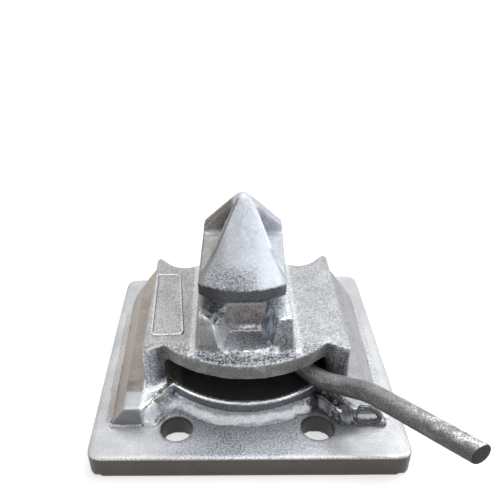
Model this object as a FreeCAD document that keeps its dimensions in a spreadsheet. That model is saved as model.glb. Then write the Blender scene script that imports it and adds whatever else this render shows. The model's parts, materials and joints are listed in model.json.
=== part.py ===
"""Container twistlock with a dovetail base, welded on a bolted plate.

Frame: millimetres, +Z up, +X to the right and +Y away from the viewer. The origin lies on the
spindle's axis at the plate's underside. The lock is drawn unlocked: the head's long side runs
along Y and the lever stands against the right-hand pillar.
"""
import FreeCAD, Part
import math
import os
import Sketcher
from FreeCAD import Placement, Rotation, Vector

# Driving sizes: alias, number, what it is
SIZES = [
    ("plate_side", 200, "side of the square base plate"),
    ("plate_thick", 16, "thickness of the base plate"),
    ("plate_corner", 8, "radius of the plate's upright corners"),
    ("plate_edge", 1, "rounding of the plate's top edge"),
    ("bolt_hole", 20, "diameter of the four bolt holes"),
    ("bolt_pitch_x", 90, "hole to hole across the plate"),
    ("bolt_pitch_y", 150, "hole to hole along the plate"),
    ("access_hole", 60, "diameter of the plate's hole under the spindle nut"),
    ("flange_thick", 15, "height of the dovetail flange"),
    ("flange_lobe", 69, "radius of the flange's front lobe"),
    ("flange_notch_angle", 45.5, "angle of the flange's front notches, from the X axis"),
    ("wing_inner", 67, "half width at the inner front corners of the dovetail"),
    ("wing_front", 73, "distance of the dovetail's front ends from the axis"),
    ("wing_back", 95, "distance of the dovetail's back edge from the axis"),
    ("wing_turn", 52, "where the dovetail's back corners start to curve"),
    ("flange_back_lobe", 64, "radius of the flange's back lobe"),
    ("flange_scallop_ratio", 0.543, "radius of the flange's scallops, as a ratio of their width"),
    ("scallop_side", 69.5, "half width at the outer ends of the flange's scallops"),
    ("scallop_end", 72, "distance of those ends from the axis"),
    ("flange_back_notch_angle", 56, "angle where the flange's back lobe ends, from the X axis"),
    ("wing_corner_in", 9, "how far the back corners curve in"),
    ("wing_corner", 95, "radius of the dovetail's back corners"),
    ("dovetail_foot", 89, "half width of the dovetail at the plate, front end"),
    ("dovetail_flare", 2.5, "how much wider the foot is at the back"),
    ("dovetail_lean", 11, "how far the dovetail's sides lean in"),
    ("cavity_tall", 22.5, "height of the lever cavity"),
    ("cavity_half", 52, "half width of the lever cavity"),
    ("cavity_round", 5, "rounding at the roof of the cavity"),
    ("seat_thick", 10.5, "thickness of the seat plate"),
    ("seat_half", 65.5, "half width of the seat plate"),
    ("seat_lobe", 71.4, "radius of the seat plate's front lobe"),
    ("notch_in", 0.55, "how far the front notches lie inside the cavity's sides"),
    ("horn_front", 58, "distance of the front horns from the axis"),
    ("horn_back", 61, "distance of the back horns from the axis"),
    ("back_lobe", 57, "radius of the seat plate's back lobe"),
    ("back_notch_angle", 55, "angle where the back lobe ends, from the X axis"),
    ("scallop_ratio", 0.66, "radius of the scallops beside the back lobe, as a ratio of their width"),
    ("scallop_in", 9.5, "how far the scallops' outer ends lie inside the seat plate's sides"),
    ("scallop_down", 11, "how far those ends lie before the back horns' tips"),
    ("horn_round", 2.5, "rounding of the upright edges at horns and notches"),
    ("seat_edge", 1.5, "rounding of the seat plate's top edge"),
    ("collar_tall", 22.5, "height of the collar above the seat"),
    ("collar_foot", 30, "half width of the collar at the seat"),
    ("collar_lean", 1.3, "draft of the collar's sides"),
    ("collar_front_in", 16.4, "how far the collar's front corners lie inside the seat's front lobe"),
    ("collar_nose", 150, "radius of the collar's front face"),
    ("collar_back", 49, "radius of the collar's back face"),
    ("collar_fillet", 4.5, "fillet at the collar's foot"),
    ("collar_edge", 1.2, "rounding of the collar's top edge"),
    ("niche_sill", 2, "height of the niches' floor above the seat"),
    ("niche_wall", 36, "distance of the niches' end walls from the axis"),
    ("niche_half", 11, "half width of a niche at the foot of its end wall"),
    ("niche_flare", 0.31, "widening of each side of a niche towards the collar's face"),
    ("niche_lean", 4, "how far each side of a niche leans out"),
    ("niche_round", 4, "radius along the foot of a niche's sides"),
    ("head_angle", -2.3, "angle of the head at rest, from the frame"),
    ("fitting_play", 30.5, "clear height between the seat and the head"),
    ("rim_tall", 8, "height of the head's rim"),
    ("rim_radius", 48, "radius of the head's rim"),
    ("rim_edge", 1, "rounding under the rim"),
    ("cone_tall", 44.5, "height from the rim to the cone's virtual point"),
    ("tip_radius", 7, "rounding of the cone's tip"),
    ("flat_half", 27, "half width across the head's flats"),
    ("flat_draft_angle", 6.2, "angle of the flats above the rim, from the upright"),
    ("rib_half", 4, "half thickness of the rib between two reliefs"),
    ("relief_start", 4.7, "distance of a large relief's wall from the head's middle, at the rib"),
    ("relief_wall_angle", 33.1, "angle of a large relief's wall, from the head's long side"),
    ("small_relief_start", 8.4, "distance of a small relief's wall from the head's middle, at the rib"),
    ("small_relief_wall_angle", 27.4, "angle of a small relief's wall, from the head's long side"),
    ("relief_root", 18, "height of the relief's floor at the rib, above the rim"),
    ("relief_slope", 0.49, "fall of the relief's floor away from the rib"),
    ("relief_tilt", 0.09, "fall of the relief's floor towards the axis"),
    ("neck_radius", 13, "radius of the spindle"),
    ("running_gap", 0.2, "radial clearance of the spindle in its bores"),
    ("slip_gap", 0.02, "radial clearance of parts fixed on each other"),
    ("washer_gap", 0.4, "radial clearance of washers round the spindle"),
    ("thread_radius", 10, "radius of the spindle's thread"),
    ("hub_radius", 25, "radius of the lever hub"),
    ("boss_reach", 28, "distance of the hub's boss face from the axis"),
    ("boss_half", 10, "half width of the hub's boss"),
    ("cross_pin", 4, "radius of the pin through hub and spindle"),
    ("upper_washer", 2, "thickness of the upper thrust washer"),
    ("upper_washer_rim", 24, "outer radius of the upper thrust washer"),
    ("detent_thick", 1.5, "thickness of the detent plate"),
    ("detent_rim", 38, "outer radius of the detent plate"),
    ("detent_pitch", 19.5, "distance of the detent ball from the axis"),
    ("detent_hole", 3, "radius of the detent plate's ball holes"),
    ("ball_radius", 4, "radius of the detent ball"),
    ("ball_gap", 0.1, "clearance of the ball in its pocket"),
    ("ball_lift", 0.3, "height of the raised ball above the detent plate"),
    ("plug_radius", 4.5, "radius of the plug over the detent spring"),
    ("plug_tall", 4.5, "height of the plug"),
    ("plug_socket", 2, "half width of the plug's square socket"),
    ("spring_wire", 0.9, "wire diameter of the detent spring"),
    ("spring_radius", 2.7, "coil radius of the detent spring"),
    ("spring_turns", 3, "turns of the detent spring"),
    ("screw_pitch", 32, "distance of the plate screws from the axis"),
    ("screw_shank", 2, "radius of the plate screws"),
    ("screw_deep", 6, "length of the plate screws in the flange"),
    ("lever_angle", -50, "angle of the lever at rest, from the X axis"),
    ("lever_swing_angle", 80, "angle of the lever's swing"),
    ("bar_radius", 6.25, "radius of the lever bar"),
    ("bar_height", 39.5, "height of the bar's straight inner end"),
    ("bar_start", 15, "distance of the bar's inner end from the axis"),
    ("bar_knee", 75.7, "distance of the first bend from the axis"),
    ("bar_elbow", 110, "distance of the second bend from the axis"),
    ("bar_reach", 181, "distance of the bar's free end from the axis"),
    ("bar_rise_angle", 25, "angle of the bar between its bends, from the level"),
    ("bar_tail_angle", 6.4, "angle of the bar's outer end, from the level"),
    ("bar_bend", 45, "radius of the bends"),
    ("bar_edge", 0.8, "chamfer of the bar's free end"),
    ("hub_weld", 3.5, "leg of the weld round the bar"),
    ("hub_weld_gap", 0.5, "clearance of that weld above the detent plate"),
    ("web_thick", 8, "thickness of the flange over the spring recess"),
    ("recess_radius", 25, "radius of the spring recess"),
    ("seat_washer", 1.6, "thickness of the washer under the flange"),
    ("seat_washer_rim", 22, "outer radius of the washer under the flange"),
    ("disc_thick", 1.8, "thickness of a disc spring"),
    ("disc_dish", 1, "dish of a disc spring"),
    ("disc_rim", 21, "outer radius of a disc spring"),
    ("stack_gap", 0.1, "clearance between the disc springs and the nut's washer"),
    ("nut_washer", 2.5, "thickness of the nut's washer"),
    ("nut_washer_rim", 21, "outer radius of the nut's washer"),
    ("nut_flats", 30, "width of the nut across its flats"),
    ("nut_tall", 11, "height of the nut"),
    ("nut_slot", 2.3, "half width of the nut's slots"),
    ("nut_slot_deep", 5.5, "depth of the nut's slots"),
    ("thread_beyond", 0.8, "length of thread beyond the nut"),
    ("split_pin", 2, "radius of the split pin"),
    ("split_pin_half", 17.5, "half length of the split pin"),
    ("split_eye", 3.2, "radius of the split pin's eye"),
    ("weld_front_foot", 4, "width of the front bead on the plate"),
    ("weld_front_tall", 6.5, "height of the front bead on the lobe"),
    ("weld_front_angle", 51, "angle where the front bead ends, from the X axis"),
    ("weld_back_angle", 59, "angle where the back bead ends, from the X axis"),
    ("weld_foot", 5, "width of the straight beads on the plate"),
    ("weld_tall", 4, "height of the straight beads"),
    ("weld_stop", 4, "how far the straight beads stop short of the corners"),
]
NUMBERS = {alias: number for alias, number, meaning in SIZES}


class Term:
    """A number together with the formula that binds it to the sheet."""

    def __init__(self, value, text=None):
        self.value = float(value)
        self.text = text if text is not None else repr(float(value))

    def __add__(self, other):
        other = term(other)
        return Term(self.value + other.value, "(%s + %s)" % (self.text, other.text))

    def __sub__(self, other):
        other = term(other)
        return Term(self.value - other.value, "(%s - %s)" % (self.text, other.text))

    def __mul__(self, other):
        other = term(other)
        return Term(self.value * other.value, "(%s * %s)" % (self.text, other.text))

    def __truediv__(self, other):
        other = term(other)
        return Term(self.value / other.value, "(%s / %s)" % (self.text, other.text))

    def __neg__(self):
        return Term(-self.value, "(0 - %s)" % self.text)

    def __rmul__(self, other):
        return term(other) * self


def term(number):
    """The number as a Term."""
    return number if isinstance(number, Term) else Term(number)


def size(alias):
    """A driving size from the sheet."""
    return Term(NUMBERS[alias], "Sizes." + alias)


def sine(angle):
    return Term(math.sin(math.radians(angle.value)), "sin(%s * 1 deg)" % angle.text)


def cosine(angle):
    return Term(math.cos(math.radians(angle.value)), "cos(%s * 1 deg)" % angle.text)


def tangent(angle):
    return Term(math.tan(math.radians(angle.value)), "tan(%s * 1 deg)" % angle.text)


def root(square):
    return Term(math.sqrt(square.value), "sqrt(%s)" % square.text)


def distance(across, along):
    """Length of the hypotenuse over two sides."""
    return root(across * across + along * along)


def turned(angle, base_z=0):
    """Formula of a placement turned about the upright axis."""
    return "placement(vector(0; 0; %s); rotation(vector(0; 0; 1); %s))" % (term(base_z).text, term(angle).text)


doc = FreeCAD.newDocument("Twistlock")
sheet = doc.addObject("Spreadsheet::Sheet", "Sizes")
for row, (alias, number, meaning) in enumerate(SIZES, start=1):
    sheet.set("A%d" % row, meaning)
    sheet.set("B%d" % row, str(number))
    sheet.setAlias("B%d" % row, alias)
doc.recompute()

NODES = []


def new_body(label):
    """A body that becomes the node of this label."""
    body = doc.addObject("PartDesign::Body", "Body_" + label)
    body.Label = label
    NODES.append(body)
    return body


def sketch_on(body, role, level=0, turn=None):
    """A sketch on one of the body's origin planes, moved along the plane's normal to level.

    On the XZ plane the normal is -Y. turn swings an upright plane about the Z axis.
    """
    plane = [item for item in body.Origin.OriginFeatures if item.Role == role][0]
    sketch = body.newObject("Sketcher::SketchObject", "Sketch_" + body.Label)
    sketch.AttachmentSupport = [(plane, "")]
    sketch.MapMode = "FlatFace"
    if turn is None:
        sketch.setExpression("AttachmentOffset.Base.z", term(level).text)
    else:
        swing = "placement(vector(0; 0; %s); rotation(vector(0; 1; 0); %s))"
        sketch.setExpression("AttachmentOffset", swing % (term(level).text, term(turn).text))
    return sketch


def fix_point(sketch, index, end, x, y):
    """Hold a point of the sketch at x, y."""
    for kind, place, axis in (("DistanceX", term(x), -2), ("DistanceY", term(y), -1)):
        if place.text == "0.0":
            sketch.addConstraint(Sketcher.Constraint("PointOnObject", index, end, axis))
        elif place.value > 0:
            number = sketch.addConstraint(Sketcher.Constraint(kind, -1, 1, index, end, place.value))
            sketch.setExpression("Constraints[%d]" % number, place.text)
        else:
            number = sketch.addConstraint(Sketcher.Constraint(kind, index, end, -1, 1, -place.value))
            sketch.setExpression("Constraints[%d]" % number, (-place).text)


def arc_between(start, end, radius, left):
    """The minor arc from start to end, its centre on the left or right of the way there."""
    middle = (start + end) * 0.5
    chord = end - start
    across = Vector(-chord.y, chord.x, 0)
    across.normalize()
    depth = math.sqrt(max(radius ** 2 - (chord.Length / 2) ** 2, 0.0))
    centre = middle + across * (depth if left else -depth)
    outward = middle - centre
    if outward.Length < 1e-9:
        outward = across * (-1 if left else 1)
    outward.normalize()
    return Part.Arc(start, centre + outward * radius, end)


def draw(sketch, points, closed=True):
    """Draw an outline through points.

    A point is (x, y), or (x, y, radius, side) where an arc starts there: its centre lies on the
    left or right of the way to the next point.
    """
    count = len(points)
    places = [Vector(term(point[0]).value, term(point[1]).value, 0) for point in points]
    edges = []
    for index in range(count if closed else count - 1):
        point = points[index]
        start = places[index]
        end = places[(index + 1) % count]
        if len(point) == 4:
            curve = arc_between(start, end, term(point[2]).value, point[3] == "left")
        else:
            curve = Part.LineSegment(start, end)
        edges.append(sketch.addGeometry(curve, False))
    ends = []
    for index, edge in enumerate(edges):
        start = places[index]
        first = sketch.getPoint(edge, 1)
        ends.append((1, 2) if (first - start).Length < 1e-6 else (2, 1))
    for index, edge in enumerate(edges):
        fix_point(sketch, edge, ends[index][0], points[index][0], points[index][1])
        if closed or index + 1 < len(edges):
            following = edges[(index + 1) % len(edges)]
            start_of_next = ends[(index + 1) % len(edges)][0]
            sketch.addConstraint(Sketcher.Constraint("Coincident", edge, ends[index][1], following, start_of_next))
        else:
            fix_point(sketch, edge, ends[index][1], points[-1][0], points[-1][1])
        if len(points[index]) == 4:
            radius = term(points[index][2])
            number = sketch.addConstraint(Sketcher.Constraint("Radius", edge, radius.value))
            sketch.setExpression("Constraints[%d]" % number, radius.text)


def circle(sketch, radius, x=0, y=0):
    """Draw a circle."""
    radius = term(radius)
    centre = Vector(term(x).value, term(y).value, 0)
    index = sketch.addGeometry(Part.Circle(centre, Vector(0, 0, 1), radius.value), False)
    fix_point(sketch, index, 3, x, y)
    number = sketch.addConstraint(Sketcher.Constraint("Radius", index, radius.value))
    sketch.setExpression("Constraints[%d]" % number, radius.text)


def feature(body, kind, sketch):
    """A feature of the body on its sketch."""
    made = body.newObject("PartDesign::" + kind, kind + "_" + body.Label)
    made.Profile = sketch
    return made


def pad(body, sketch, length, both=False, down=False):
    made = feature(body, "Pad", sketch)
    made.setExpression("Length", term(length).text)
    made.SideType = "Symmetric" if both else "One side"
    made.Reversed = down
    doc.recompute()
    return made


def pocket(body, sketch, length=None, both=False, up=False):
    """Cut a sketch's outline to a length, or right through. The solid has to lose volume."""
    before = body.Shape.Volume
    made = feature(body, "Pocket", sketch)
    if length is None:
        made.Type = "ThroughAll"
    else:
        made.setExpression("Length", term(length).text)
    made.SideType = "Symmetric" if both else "One side"
    made.Reversed = up
    doc.recompute()
    if body.Shape.Volume >= before:
        raise ValueError("%s cuts nothing" % made.Label)
    return made


def revolve(body, sketch, angle=360):
    """Turn an outline about the upright axis of its sketch."""
    made = feature(body, "Revolution", sketch)
    made.ReferenceAxis = (sketch, ["V_Axis"])
    made.setExpression("Angle", term(angle).text)
    doc.recompute()
    return made


def loft(body, first, last, cut=False):
    made = feature(body, "SubtractiveLoft" if cut else "AdditiveLoft", first)
    made.Sections = [last]
    made.Ruled = True
    doc.recompute()
    return made


def edges_where(shape, test):
    """Names of the edges whose middle point and shape pass a test."""
    names = []
    for number, edge in enumerate(shape.Edges, start=1):
        middle = edge.valueAt((edge.FirstParameter + edge.LastParameter) / 2)
        if test(edge, middle):
            names.append("Edge%d" % number)
    return names


def soften(body, test, radius, kind="Fillet"):
    """Round or chamfer the body's edges that pass a test."""
    doc.recompute()
    base = body.Tip
    names = edges_where(base.Shape, test)
    if not names:
        raise ValueError("no edge to soften on %s" % body.Label)
    made = body.newObject("PartDesign::" + kind, kind + "_" + body.Label)
    made.Base = (base, names)
    made.setExpression("Radius" if kind == "Fillet" else "Size", term(radius).text)
    doc.recompute()
    return made


def near(number, target, within=0.01):
    return abs(number - term(target).value) < within


def level_edge(edge, height):
    """True for an edge that lies flat at a height."""
    return all(near(vertex.Z, height) for vertex in edge.Vertexes)


# Levels from the plate's underside up
PLATE_TOP = size("plate_thick")
FLANGE_TOP = PLATE_TOP + size("flange_thick")
SEAT_UNDER = FLANGE_TOP + size("cavity_tall")
SEAT_TOP = SEAT_UNDER + size("seat_thick")
COLLAR_TOP = SEAT_TOP + size("collar_tall")
HEAD_UNDER = SEAT_TOP + size("fitting_play")
RIM_TOP = HEAD_UNDER + size("rim_tall")
DETENT_TOP = FLANGE_TOP + size("detent_thick")
HUB_TOP = SEAT_UNDER - size("upper_washer")
RECESS_ROOF = FLANGE_TOP - size("web_thick")
SEAT_WASHER_UNDER = RECESS_ROOF - size("seat_washer")
DISC_MIDDLE = SEAT_WASHER_UNDER - size("disc_dish") - size("disc_thick")
DISC_UNDER = DISC_MIDDLE - size("disc_dish") - size("disc_thick")
SHOULDER = DISC_UNDER - size("stack_gap")
NUT_TOP = SHOULDER - size("nut_washer")
NUT_UNDER = NUT_TOP - size("nut_tall")
SPLIT_PIN_HEIGHT = NUT_UNDER + size("nut_slot_deep") / 2
PIN_HEIGHT = (DETENT_TOP + HUB_TOP) / 2
PIN_TURN = size("lever_angle") + 90
BALL_TURN = size("lever_angle") + 180
BALL_CENTRE = DETENT_TOP + size("ball_lift") + size("ball_radius")
PLUG_UNDER = HUB_TOP - size("plug_tall")


def make_base_plate():
    """Square plate with four bolt holes and the hole under the spindle nut."""
    body = new_body("base_plate")
    half = size("plate_side") / 2
    sketch = sketch_on(body, "XY_Plane")
    draw(sketch, [(-half, -half), (half, -half), (half, half), (-half, half)])
    pad(body, sketch, size("plate_thick"))
    soften(body, lambda edge, middle: near(middle.z, size("plate_thick") / 2), size("plate_corner"))
    soften(body, lambda edge, middle: level_edge(edge, PLATE_TOP), size("plate_edge"))
    holes = sketch_on(body, "XY_Plane")
    circle(holes, size("access_hole") / 2)
    for side in (-1, 1):
        for end in (-1, 1):
            circle(holes, size("bolt_hole") / 2, size("bolt_pitch_x") / 2 * side, size("bolt_pitch_y") / 2 * end)
    pocket(body, holes, up=True)


def flange_outline(sketch, lean):
    """Outline of the dovetail flange, its sides moved in by lean."""
    notch_x = size("flange_lobe") * cosine(size("flange_notch_angle"))
    notch_y = -(size("flange_lobe") * sine(size("flange_notch_angle")))
    front = size("dovetail_foot") - lean
    back = front + size("dovetail_flare")
    corner = back - size("wing_corner_in")
    wing_front = -size("wing_front")
    side = size("scallop_side")
    lobe_x = size("flange_back_lobe") * cosine(size("flange_back_notch_angle"))
    lobe_y = size("flange_back_lobe") * sine(size("flange_back_notch_angle"))
    scallop = distance(side - lobe_x, size("scallop_end") - lobe_y) * size("flange_scallop_ratio")
    draw(sketch, [
        (-notch_x, notch_y, size("flange_lobe"), "left"),
        (notch_x, notch_y),
        (size("wing_inner"), wing_front),
        (front, wing_front),
        (back, size("wing_turn"), size("wing_corner"), "left"),
        (corner, size("wing_back")),
        (side, size("wing_back")),
        (side, size("scallop_end"), scallop, "right"),
        (lobe_x, lobe_y, size("flange_back_lobe"), "left"),
        (-lobe_x, lobe_y, scallop, "right"),
        (-side, size("scallop_end")),
        (-side, size("wing_back")),
        (-corner, size("wing_back"), size("wing_corner"), "left"),
        (-back, size("wing_turn")),
        (-front, wing_front),
        (-size("wing_inner"), wing_front),
    ])


def seat_outline(sketch):
    """Outline of the walls and the seat plate: front lobe, notches, horns and back scallops."""
    notch_x = size("cavity_half") - size("notch_in")
    notch_y = -root(size("seat_lobe") * size("seat_lobe") - notch_x * notch_x)
    back_x = size("back_lobe") * cosine(size("back_notch_angle"))
    back_y = size("back_lobe") * sine(size("back_notch_angle"))
    scallop_x = size("seat_half") - size("scallop_in")
    scallop_y = size("horn_back") - size("scallop_down")
    scallop = distance(scallop_x - back_x, scallop_y - back_y) * size("scallop_ratio")
    draw(sketch, [
        (-notch_x, notch_y, size("seat_lobe"), "left"),
        (notch_x, notch_y),
        (size("seat_half"), -size("horn_front")),
        (size("seat_half"), size("horn_back")),
        (scallop_x, scallop_y, scallop, "right"),
        (back_x, back_y, size("back_lobe"), "left"),
        (-back_x, back_y, scallop, "right"),
        (-scallop_x, scallop_y),
        (-size("seat_half"), size("horn_back")),
        (-size("seat_half"), -size("horn_front")),
    ])


def collar_outline(sketch, lean):
    """Outline of the collar: straight sides, a nearly flat front and a back on the axis."""
    side = size("collar_foot") - lean
    back = size("collar_back") - lean
    back_y = root(back * back - side * side)
    front_y = lean + size("collar_front_in") - size("seat_lobe")
    draw(sketch, [
        (-side, front_y, size("collar_nose"), "left"),
        (side, front_y),
        (side, back_y, back, "left"),
        (-side, back_y),
    ])


def make_dovetail_body():
    """The casting: dovetail flange, walls, seat plate and collar, with its cavity, niches and bores."""
    body = new_body("dovetail_body")
    walls = sketch_on(body, "XY_Plane", FLANGE_TOP)
    seat_outline(walls)
    pad(body, walls, SEAT_TOP - FLANGE_TOP)
    middle_level = (FLANGE_TOP + SEAT_TOP) / 2
    soften(body, lambda edge, middle: near(middle.z, middle_level), size("horn_round"))
    cavity = sketch_on(body, "XY_Plane", FLANGE_TOP)
    half = size("cavity_half")
    mouth = -(size("seat_lobe") + size("plate_edge"))
    draw(cavity, [(-half, mouth), (half, mouth), (half, 0, half, "left"), (0, half, half, "left"), (-half, 0)])
    pocket(body, cavity, size("cavity_tall"), up=True)
    inside = -size("horn_front").value / 2
    soften(body, lambda edge, middle: level_edge(edge, SEAT_UNDER) and middle.y > inside, size("cavity_round"))
    soften(body, lambda edge, middle: level_edge(edge, SEAT_TOP), size("seat_edge"))
    foot = sketch_on(body, "XY_Plane", PLATE_TOP)
    flange_outline(foot, Term(0))
    shoulder = sketch_on(body, "XY_Plane", FLANGE_TOP)
    flange_outline(shoulder, size("dovetail_lean"))
    loft(body, foot, shoulder)
    collar_foot = sketch_on(body, "XY_Plane", SEAT_TOP)
    collar_outline(collar_foot, Term(0))
    collar_top = sketch_on(body, "XY_Plane", COLLAR_TOP)
    collar_outline(collar_top, size("collar_lean"))
    loft(body, collar_foot, collar_top)
    soften(body, lambda edge, middle: level_edge(edge, SEAT_TOP) and on_collar(middle), size("collar_fillet"))
    cut_niches(body)
    soften(body, lambda edge, middle: level_edge(edge, COLLAR_TOP), size("collar_edge"))
    cut_bores(body)


def on_collar(point):
    """True for a point of the seat that lies at the collar's foot, inside the seat's lobes."""
    beside = size("collar_foot").value + size("seat_edge").value
    before = size("seat_lobe").value - size("seat_edge").value * 2
    behind = size("back_lobe").value - size("seat_edge").value * 2
    return abs(point.x) < beside and -before < point.y < behind


def niche_section(body, away, end):
    """One upright section of a niche, at a distance from the axis."""
    sketch = sketch_on(body, "XZ_Plane", away * end)
    half = size("niche_half") + (away - size("niche_wall")) * size("niche_flare")
    inner = half - size("niche_round")
    outer = half + size("niche_lean")
    floor = SEAT_TOP + size("niche_sill")
    knee = floor + size("niche_round")
    above = COLLAR_TOP + size("collar_edge")
    draw(sketch, [
        (-inner, floor),
        (inner, floor, size("niche_round"), "left"),
        (half, knee),
        (outer, above),
        (-outer, above),
        (-half, knee, size("niche_round"), "left"),
    ])
    return sketch


def cut_niches(body):
    """The open niches in the collar's front and back faces."""
    for end in (-1, 1):
        at_wall = niche_section(body, size("niche_wall"), end)
        outside = niche_section(body, size("seat_lobe"), end)
        loft(body, at_wall, outside, cut=True)


def cut_bores(body):
    """The spindle's bores, the recess under the flange and the holes of the plate screws."""
    bore = sketch_on(body, "XY_Plane", COLLAR_TOP)
    circle(bore, size("neck_radius") + size("running_gap"))
    pocket(body, bore)
    recess = sketch_on(body, "XY_Plane", PLATE_TOP)
    circle(recess, size("recess_radius"))
    pocket(body, recess, RECESS_ROOF - PLATE_TOP, up=True)
    screws = sketch_on(body, "XY_Plane", FLANGE_TOP)
    for side in (-1, 1):
        circle(screws, size("screw_shank") + size("slip_gap"), size("screw_pitch") * side, 0)
    pocket(body, screws, size("screw_deep"))


def make_lock_cone():
    """Forged head and spindle in one piece."""
    body = new_body("lock_cone")
    profile = sketch_on(body, "XZ_Plane")
    slant = root(size("rim_radius") * size("rim_radius") + size("cone_tall") * size("cone_tall"))
    tip_centre = RIM_TOP + size("cone_tall") - size("tip_radius") * slant / size("rim_radius")
    touch_x = size("tip_radius") * size("cone_tall") / slant
    touch_z = tip_centre + size("tip_radius") * size("rim_radius") / slant
    end = NUT_UNDER - size("thread_beyond")
    draw(profile, [
        (0, end),
        (size("thread_radius"), end),
        (size("thread_radius"), SHOULDER),
        (size("neck_radius"), SHOULDER),
        (size("neck_radius"), HEAD_UNDER),
        (size("rim_radius"), HEAD_UNDER),
        (size("rim_radius"), RIM_TOP),
        (touch_x, touch_z, size("tip_radius"), "left"),
        (0, tip_centre + size("tip_radius")),
    ])
    revolve(body, profile)
    cut_flats(body)
    for side in (-1, 1):
        for end_of_head in (-1, 1):
            cut_relief(body, side, end_of_head)
    pin_hole = sketch_on(body, "XZ_Plane", turn=PIN_TURN + 90 - size("head_angle"))
    circle(pin_hole, size("cross_pin") + size("slip_gap"), 0, PIN_HEIGHT)
    pocket(body, pin_hole, size("neck_radius") * 3, both=True)
    split_hole = sketch_on(body, "YZ_Plane")
    circle(split_hole, size("split_pin") + size("slip_gap"), 0, SPLIT_PIN_HEIGHT)
    pocket(body, split_hole, size("thread_radius") * 3, both=True)
    body.setExpression("Placement", turned(size("head_angle")))


def cut_flats(body):
    """The head's two flats: upright at the rim, drafted above it."""
    top = RIM_TOP + size("cone_tall")
    inner = size("flat_half") - size("cone_tall") * tangent(size("flat_draft_angle"))
    outer = size("rim_radius") + size("rim_edge")
    low = HEAD_UNDER - size("rim_edge")
    for side in (-1, 1):
        sketch = sketch_on(body, "XZ_Plane")
        draw(sketch, [
            (size("flat_half") * side, low),
            (size("flat_half") * side, RIM_TOP),
            (inner * side, top),
            (outer * side, top),
            (outer * side, low),
        ])
        pocket(body, sketch, outer * 2, both=True)


def relief_section(body, side, away, end):
    """One upright section of a relief, at a distance from the head's cross axis.

    The reliefs that lie across from each other are alike: front left and back right are large.
    """
    sketch = sketch_on(body, "XZ_Plane", away * end)
    kind = "relief" if side * end < 0 else "small_relief"
    inner = size(kind + "_start") + (away - size("rib_half")) * tangent(size(kind + "_wall_angle"))
    outer = size("rim_radius") + size("rib_half")
    fall = (away - size("rib_half")) * size("relief_slope")
    level = RIM_TOP + size("relief_root") - fall
    low_inner = level - (size("flat_half") - inner) * size("relief_tilt")
    low_outer = level + (outer - size("flat_half")) * size("relief_tilt")
    top = RIM_TOP + size("cone_tall")
    draw(sketch, [(inner * side, low_inner), (outer * side, low_outer), (outer * side, top), (inner * side, top)])
    return sketch


def cut_relief(body, side, end):
    """The recess between the cone's front or back and the rib on one side."""
    near_rib = relief_section(body, side, size("rib_half"), end)
    at_rim = relief_section(body, side, size("rim_radius"), end)
    loft(body, near_rib, at_rim, cut=True)


def make_lever_hub():
    """Ring on the spindle with the boss that takes the bar, drawn with the boss along X."""
    body = new_body("lever_hub")
    ring = sketch_on(body, "XY_Plane", DETENT_TOP)
    circle(ring, size("hub_radius"))
    pad(body, ring, HUB_TOP - DETENT_TOP)
    boss = sketch_on(body, "XY_Plane", DETENT_TOP)
    half = size("boss_half")
    draw(boss, [(0, -half), (size("boss_reach"), -half), (size("boss_reach"), half), (0, half)])
    pad(body, boss, HUB_TOP - DETENT_TOP)
    bore = sketch_on(body, "XY_Plane", HUB_TOP)
    circle(bore, size("neck_radius") + size("slip_gap"))
    pocket(body, bore)
    socket = sketch_on(body, "YZ_Plane", size("boss_reach"))
    circle(socket, size("bar_radius") + size("slip_gap"), 0, size("bar_height"))
    pocket(body, socket, size("boss_reach") - size("bar_start"))
    pin_hole = sketch_on(body, "XZ_Plane")
    circle(pin_hole, size("cross_pin") + size("slip_gap"), 0, PIN_HEIGHT)
    pocket(body, pin_hole, size("hub_radius") * 3, both=True)
    ball_pocket = sketch_on(body, "XY_Plane", DETENT_TOP)
    circle(ball_pocket, size("ball_radius") + size("ball_gap"), -size("detent_pitch"), 0)
    pocket(body, ball_pocket, PLUG_UNDER - DETENT_TOP, up=True)
    plug_hole = sketch_on(body, "XY_Plane", HUB_TOP)
    circle(plug_hole, size("plug_radius") + size("slip_gap"), -size("detent_pitch"), 0)
    pocket(body, plug_hole, size("plug_tall"))
    body.setExpression("Placement", turned(size("lever_angle")))


def make_lever_bar():
    """Round bar, level in the cavity, bent up past the flange and again towards its free end."""
    body = new_body("lever_bar")
    rise = size("bar_rise_angle")
    tail = size("bar_tail_angle")
    bend = size("bar_bend")
    level = size("bar_height")
    elbow_z = level + (size("bar_elbow") - size("bar_knee")) * tangent(rise)
    tip_z = elbow_z + (size("bar_reach") - size("bar_elbow")) * tangent(tail)
    first = bend * tangent(rise / 2)
    second = bend * tangent((rise - tail) / 2)
    route = sketch_on(body, "XZ_Plane")
    draw(route, [
        (size("bar_start"), level),
        (size("bar_knee") - first, level, bend, "left"),
        (size("bar_knee") + first * cosine(rise), level + first * sine(rise)),
        (size("bar_elbow") - second * cosine(rise), elbow_z - second * sine(rise), bend, "right"),
        (size("bar_elbow") + second * cosine(tail), elbow_z + second * sine(tail)),
        (size("bar_reach"), tip_z),
    ], closed=False)
    section = sketch_on(body, "YZ_Plane", size("bar_start"))
    circle(section, size("bar_radius"), 0, level)
    bar = feature(body, "AdditivePipe", section)
    bar.Spine = route
    doc.recompute()
    reach = size("bar_reach").value - size("bar_edge").value
    soften(body, lambda edge, middle: middle.x > reach, size("bar_edge"), "Chamfer")
    body.setExpression("Placement", turned(size("lever_angle")))


def primitive(kind, name, placement, **lengths):
    """A Part primitive whose sizes and place are bound to the sheet."""
    made = doc.addObject("Part::" + kind, name)
    for property_name, length in lengths.items():
        made.setExpression(property_name, term(length).text)
    made.setExpression("Placement", placement)
    return made


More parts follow.
